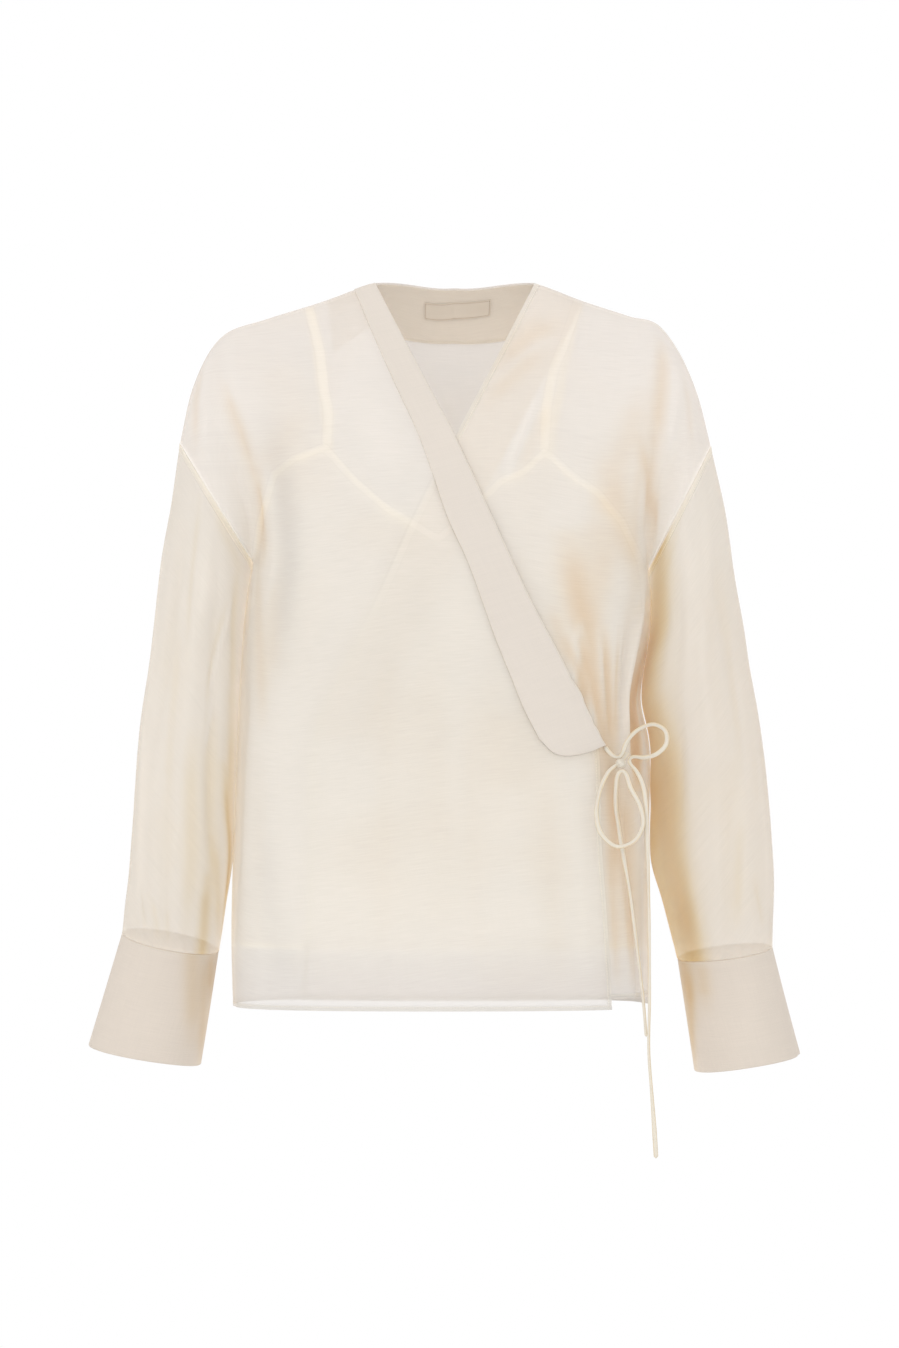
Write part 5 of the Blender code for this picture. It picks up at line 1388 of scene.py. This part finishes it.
def route_points(names, bridges):
    """One smooth route through the named ties' own points, with extra points inside the knot between them."""
    points = [list(TIES[names[0]])]
    for name, bridge in zip(names[1:], bridges):
        points += [list(bridge), list(TIES[name])]
    points = np.array([point for group in points for point in group], float)
    along = np.concatenate([[0], np.cumsum(np.linalg.norm(np.diff(points, axis=0), axis=1))])
    t = np.linspace(0, along[-1], round(along[-1] / TIE_CELL) + 1)
    route = np.stack([curve(along, points[:, i], t) for i in range(3)], axis=1)
    near = near_knot(route)[1:-1, None]
    for _ in range(TIE_ROUNDING):
        route[1:-1] += near * ((route[:-2] + route[2:]) / 2 - route[1:-1])
    return route


def tube_quads(rows, sides):
    """The faces of a tube's wall, whose points run round it, row by row."""
    index = np.arange(rows * sides).reshape(rows, sides)
    wrap = np.concatenate([index, index[:, :1]], axis=1)
    return np.stack([wrap[:-1, :-1], wrap[1:, :-1], wrap[1:, 1:], wrap[:-1, 1:]], axis=-1).reshape(-1, 4)


def add_tie(name, bridges):
    """A flat tube of folded cloth, swept along its route, which turns a little about it as it hangs."""
    nodes = [name + part for part in ("_lead", "_loop", "_tail")]
    route = route_points(nodes, bridges)
    ahead = unit(np.gradient(route, axis=0))
    run = run_lengths(route[:, None], 0)[0][:, 0]
    twist = np.radians(TIE_TWIST) * noise(run / TIE_TWIST_REACH, 0 * run + len(name), 31)[:, None]
    flat = unit(np.cross(ahead, (0.0, -1.0, 0.0)) + np.array([1e-3, 0, 0]))
    for _ in range(TIE_SMOOTHING):
        flat[1:-1] = unit(flat[:-2] + flat[1:-1] + flat[2:])
    flat = unit(flat - (flat * ahead).sum(axis=1, keepdims=True) * ahead)
    wide = flat * np.cos(twist) + np.cross(ahead, flat) * np.sin(twist)
    thick = np.cross(ahead, wide)
    pinch = 1 - TIE_PINCH * near_knot(route)
    drop = -route[:, 2]
    starts = (TIE_NARROW_FROM, TIE_NARROW_TO)
    narrow, wide_again = (smooth((drop - start) / TIE_NARROW_BLUR) for start in starts)
    uneven = 1 + TIE_UNEVEN * noise(run / TIE_UNEVEN_REACH, 0 * run + 3, 44)
    width = TIE_WIDTH / 2 * pinch * uneven * (1 - TIE_NARROWER * narrow * (1 - wide_again))
    depth = TIE_DEPTH / 2 * (2 - pinch)
    turn = np.linspace(0, 2 * np.pi, TIE_SIDES, endpoint=False)
    x, y = (np.sign(part) * np.abs(part) ** TIE_CORNERS for part in (np.cos(turn), np.sin(turn)))
    section = wide[:, None] * (width[:, None] * x)[..., None]
    section = section + thick[:, None] * (depth[:, None] * y)[..., None]
    closing = np.maximum(rounded(np.minimum(run, run[-1] - run), TIE_END), TIE_END_SHARE)
    tube = route[:, None] + section * closing[:, None, None]
    caps = [list(range(TIE_SIDES)), list(range(tube[..., 0].size))[: -TIE_SIDES - 1 : -1]]
    faces = tube_quads(len(route), TIE_SIDES).tolist() + caps
    corner = np.concatenate(faces)
    places = np.stack([corner % TIE_SIDES * (TIE_WIDTH * 2 / TIE_SIDES), run[corner // TIE_SIDES]], axis=-1)
    # Painted golden shade towards the tie's folded edges.
    shade = np.tile(stack(TIE_EDGE_SHADE * np.abs(x) ** 4, 0, 0), (len(route), 1))
    values = {"ply": np.ones((len(shade), 1)), "shade": shade}
    tie = add_piece(name, tube, faces, woven("tie_folded"), nodes, places, values)


def add_knot():
    """The knot: a small creased bundle with the tie wrapped across it."""
    theta, phi = np.meshgrid(
        np.linspace(0, np.pi, KNOT_ROWS), np.linspace(0, 2 * np.pi, KNOT_SIDES, endpoint=False), indexing="ij"
    )
    ball = stack(np.sin(theta) * np.cos(phi), np.cos(theta), np.sin(theta) * np.sin(phi))
    x, z = ball[..., 0], ball[..., 2]
    across = x * KNOT_STRIP_ACROSS[0] + z * KNOT_STRIP_ACROSS[1]
    strip = np.exp(-((across / KNOT_STRIP_WIDTH) ** 4))
    folds = 0.07 * np.sin(9 * (z - 0.5 * x) + 1) + 0.05 * np.sin(14 * across + 0.7)
    radius = KNOT_RADIUS + KNOT_STRIP_RISE * strip + folds * (1 - 0.5 * strip)
    points = ball * radius[..., None] * np.array(KNOT_SIZE) / 2 + np.array(KNOT_CENTRE)
    quads = tube_quads(KNOT_ROWS, KNOT_SIDES)[:, [0, 3, 2, 1]]
    corner = quads.ravel()
    places = np.stack([corner % KNOT_SIDES * KNOT_PLACES[0], corner // KNOT_SIDES * KNOT_PLACES[1]], axis=-1)
    values = {"ply": np.ones((radius.size, 1))}
    cloth_look = woven("tie_folded")
    add_piece("bow_knot_wrap", points, quads.tolist(), cloth_look, ["bow_knot"], places, values)


# ---- Materials ----


class Nodes:
    """A material's node tree, built by short calls. A node stands for its first output."""

    def __init__(self, name):
        self.material = bpy.data.materials.new(name)
        self.material.use_nodes = True
        self.tree = self.material.node_tree
        self.tree.nodes.clear()

    def add(self, kind, *first, settings=(), **inputs):
        """A node with values or sockets for its first inputs, and for others by their names."""
        node = self.tree.nodes.new("ShaderNode" + kind)
        for key, value in settings:
            setattr(node, key, value)
        named_inputs = [(key.replace("_", " "), value) for key, value in inputs.items()]
        for key, value in [*enumerate(first), *named_inputs]:
            value = value.outputs[0] if isinstance(value, bpy.types.Node) else value
            if isinstance(value, bpy.types.NodeSocket):
                self.tree.links.new(value, node.inputs[key])
            else:
                node.inputs[key].default_value = value
        return node

    def math(self, operation, *values, clamp=False):
        return self.add("Math", *values, settings=(("operation", operation), ("use_clamp", clamp)))

    def product(self, *values):
        """Colours and numbers multiplied together."""
        result = values[0]
        for value in values[1:]:
            result = self.add("VectorMath", result, value, settings=(("operation", "MULTIPLY"),))
        return result

    def total(self, start, *parts):
        """start, and each value of (value, weight) parts times its weight."""
        for value, weight in parts:
            start = self.math("MULTIPLY_ADD", value, weight, start)
        return start

    def mix(self, share, first, second):
        node = self.add("Mix", share, settings=(("data_type", "RGBA"),))
        node.inputs[6].default_value, node.inputs[7].default_value = (*first, 1), (*second, 1)
        return node.outputs[2]

    def attribute(self, name, output="Fac"):
        return self.add("Attribute", settings=(("attribute_name", name),)).outputs[output]

    def parts(self, vector):
        return self.add("SeparateXYZ", vector).outputs

    def strip(self, distance, low, high):
        """1 where a distance lies between two values."""
        rise = self.total(-low / SEEN_BLUR, (distance, 1 / SEEN_BLUR))
        fall = self.total(high / SEEN_BLUR, (distance, -1 / SEEN_BLUR))
        return self.math("MINIMUM", rise, fall, clamp=True)

    def streaks(self, place, along, across, detail=2.0):
        """Noise stretched along the threads: its size in metres along u and v."""
        scale = self.add("Mapping", place, Scale=(1 / along, 1 / across, 1))
        return self.add(
            "TexNoise", settings=(("noise_dimensions", "2D"),), Vector=scale, Scale=1.0, Detail=detail
        )

    def finish(self, shader):
        self.add("OutputMaterial", Surface=shader)
        return self.material


def woven(name):
    """The cloth of one of LOOKS: fine and plain-woven, with uneven weft threads, a faint weave, softly
    changing tone, the painted shade, light and highlights that its points carry, the strips painted where
    what lies inside shows through, and a lighter, denser look where it is doubled."""
    if name in bpy.data.materials:
        return bpy.data.materials[name]
    _, colour, doubled_colour, opacity, doubled_opacity, slub, translucent, sheen, rough = LOOKS[name]
    nodes = Nodes(name)
    place = nodes.add("UVMap", settings=(("uv_map", "cloth"),))
    ply = nodes.attribute("ply")
    weft, warp, patches, rows = (nodes.streaks(place, *streak) for streak in (WEFT, WARP, PATCHES, ROWS))
    across, down, _ = nodes.parts(place)
    waves = [nodes.math("SINE", nodes.math("MULTIPLY", run, 2 * math.pi / THREAD)) for run in (across, down)]
    weave = nodes.math("MULTIPLY", *waves)
    uneven = ((weft, slub), (warp, WARP_SHARE * slub), (patches, PATCH_TONE), (rows, ROW_TONE))
    # The shade attribute carries painted golden shade and highlight, painted light and shade, and the painted
    # shade's hue.
    hollow, light, pink = nodes.parts(nodes.attribute("shade", "Vector"))
    tone = nodes.total(1 - sum(weight for _, weight in uneven) / 2, *uneven, (weave, WEAVE_TONE))
    tone = nodes.total(tone, (nodes.math("MINIMUM", hollow, 0.0), HIGHLIGHT), (light, 1.0))
    # Painted strips and shadow lines where the lining, straps and left front show through.
    edges = nodes.parts(nodes.attribute("edges", "Vector")) if name in SEEN_THROUGH else ()
    for edge, low, high, amount in SEEN_THROUGH.get(name, ()):
        strip = nodes.strip(edges[edge], FAR_INSIDE + low, FAR_INSIDE + high)
        if edge == UNDER_EDGE:
            strip = nodes.math("MULTIPLY", strip, nodes.attribute("under_shows"))
        tone = nodes.total(tone, (strip, amount))
    base = colour if colour == doubled_colour else nodes.mix(ply, colour, doubled_colour)
    shade = nodes.add("Gamma", (*HOLLOW_SHADE, 1), nodes.math("MAXIMUM", hollow, 0.0))
    tint = nodes.add("CombineColor", 1.0, nodes.math("SUBTRACT", 1.0, pink), 1.0)
    tinted = nodes.product(base, shade, tint, tone)
    heights = [(weave, WEAVE_HEIGHT)]
    if opacity == 1:  # the sheer cloths are smooth, and many layers of them are slow to render
        heights += [(weft, WEFT_HEIGHT), (warp, WARP_HEIGHT)]
    bump = nodes.add("Bump", Strength=BUMP_STRENGTH, Distance=BUMP_DEPTH, Height=nodes.total(0.0, *heights))
    shader = nodes.add(
        "BsdfPrincipled", tinted, Roughness=rough, Normal=bump, Specular_IOR_Level=0.25, Sheen_Weight=sheen,
        Sheen_Roughness=0.45, Sheen_Tint=(1.0, 0.96, 0.9, 1),
    )
    through = nodes.add("BsdfTranslucent", tinted, Normal=bump)
    result = nodes.add("MixShader", translucent, shader, through)
    if opacity < 1:
        alpha = ((ply, doubled_opacity - opacity), (weft, OPACITY_SLUB))
        alpha = nodes.math("MINIMUM", nodes.total(opacity - OPACITY_SLUB / 2, *alpha), 1.0)
        result = nodes.add("MixShader", alpha, nodes.add("BsdfTransparent"), result)
    return nodes.finish(result)


def thread(name, colour):
    """Twisted sewing thread: fine turns of light and shade along it."""
    nodes = Nodes(name)
    place = nodes.add("TexCoord").outputs["Object"]
    twist = nodes.add("TexNoise", Vector=place, Scale=1800.0, Detail=1.0)
    dark = tuple(0.82 * part for part in colour)
    bump = nodes.add("Bump", Strength=0.6, Distance=0.0001, Height=twist)
    return nodes.finish(nodes.add(
        "BsdfPrincipled", nodes.mix(twist, dark, colour), Roughness=0.55, Normal=bump, Sheen_Weight=0.2
    ))


# ---- The studio ----


def add_camera():
    data = bpy.data.cameras.new("camera")
    data.sensor_width, data.lens, data.clip_end = 36.0, CAMERA_LENS, 100.0
    camera = bpy.data.objects.new("camera", data)
    camera.location = CAMERA_PLACE
    camera.rotation_euler = (math.radians(90), 0, 0)
    bpy.context.scene.collection.objects.link(camera)
    bpy.context.scene.camera = camera


def add_sun(name, strength, spread_degrees, place):
    """A broad soft light from a direction, given as a place that it shines from."""
    data = bpy.data.lights.new(name, "SUN")
    data.energy, data.angle = strength, math.radians(spread_degrees)
    data.color = SUN_COLOUR
    light = bpy.data.objects.new(name, data)
    x, y, z = -np.array(place, float)
    light.rotation_euler = (math.atan2(math.hypot(x, y), -z), 0.0, math.atan2(x, -y) + math.pi)
    bpy.context.scene.collection.objects.link(light)


def add_studio():
    """A white backdrop for the camera alone, a warm white room to light the cloth, soft lights and a
    floor."""
    world = bpy.data.worlds.new("studio")
    world.use_nodes = True
    tree = world.node_tree
    backdrop = tree.nodes["Background"]
    backdrop.inputs["Color"].default_value = (1, 1, 1, 1)
    room = tree.nodes.new("ShaderNodeBackground")
    room.inputs["Color"].default_value = (*ROOM_COLOUR, 1)
    room.inputs["Strength"].default_value = ROOM_LIGHT
    path, both = tree.nodes.new("ShaderNodeLightPath"), tree.nodes.new("ShaderNodeMixShader")
    for output, socket in (
        (path.outputs["Is Camera Ray"], both.inputs[0]), (room.outputs[0], both.inputs[1]),
        (backdrop.outputs[0], both.inputs[2]), (both.outputs[0], tree.nodes["World Output"].inputs[0]),
    ):
        tree.links.new(output, socket)
    bpy.context.scene.world = world
    for light in SUNS:
        add_sun(*light)
    mesh = bpy.data.meshes.new("floor")
    turn = np.linspace(0, 2 * np.pi, FLOOR_SIDES, endpoint=False)
    rim = stack(FLOOR_RADIUS * np.cos(turn), FLOOR_RADIUS * np.sin(turn), FLOOR_HEIGHT)
    mesh.from_pydata(rim.tolist(), [], [list(range(FLOOR_SIDES))])
    floor = bpy.data.objects.new("floor", mesh)
    nodes = Nodes("floor_paper")
    grain = nodes.add("TexNoise", Vector=nodes.add("TexCoord").outputs["Object"], Scale=3.0, Detail=4.0)
    paper = nodes.mix(grain, (0.93, 0.93, 0.93), (0.95, 0.95, 0.945))
    mesh.materials.append(nodes.finish(nodes.add("BsdfPrincipled", paper, Roughness=0.9)))
    bpy.context.scene.collection.objects.link(floor)


scene = bpy.context.scene
scene.view_settings.view_transform = "Standard"
scene.cycles.transparent_max_bounces, scene.cycles.diffuse_bounces, scene.cycles.max_bounces = 40, 16, 24
add_camera()
for name, (bridges, length) in TIE_KNOTTED.items():
    add_tie(name, bridges)
add_knot()
add_studio()
add_back()
add_neck_inside()
add_left_front()
add_right_front()
for name, side in (("right", RIGHT), ("left", LEFT)):
    add_sleeve(side, name)
    add_cuff(side, name)
add_lining()
add_straps()
add_stitching("cloth", "seam_stitching", thread("thread_pale", (0.82, 0.77, 0.68)))
add_stitching("label", "label_stitching", thread("thread_brown", (0.42, 0.30, 0.21)))
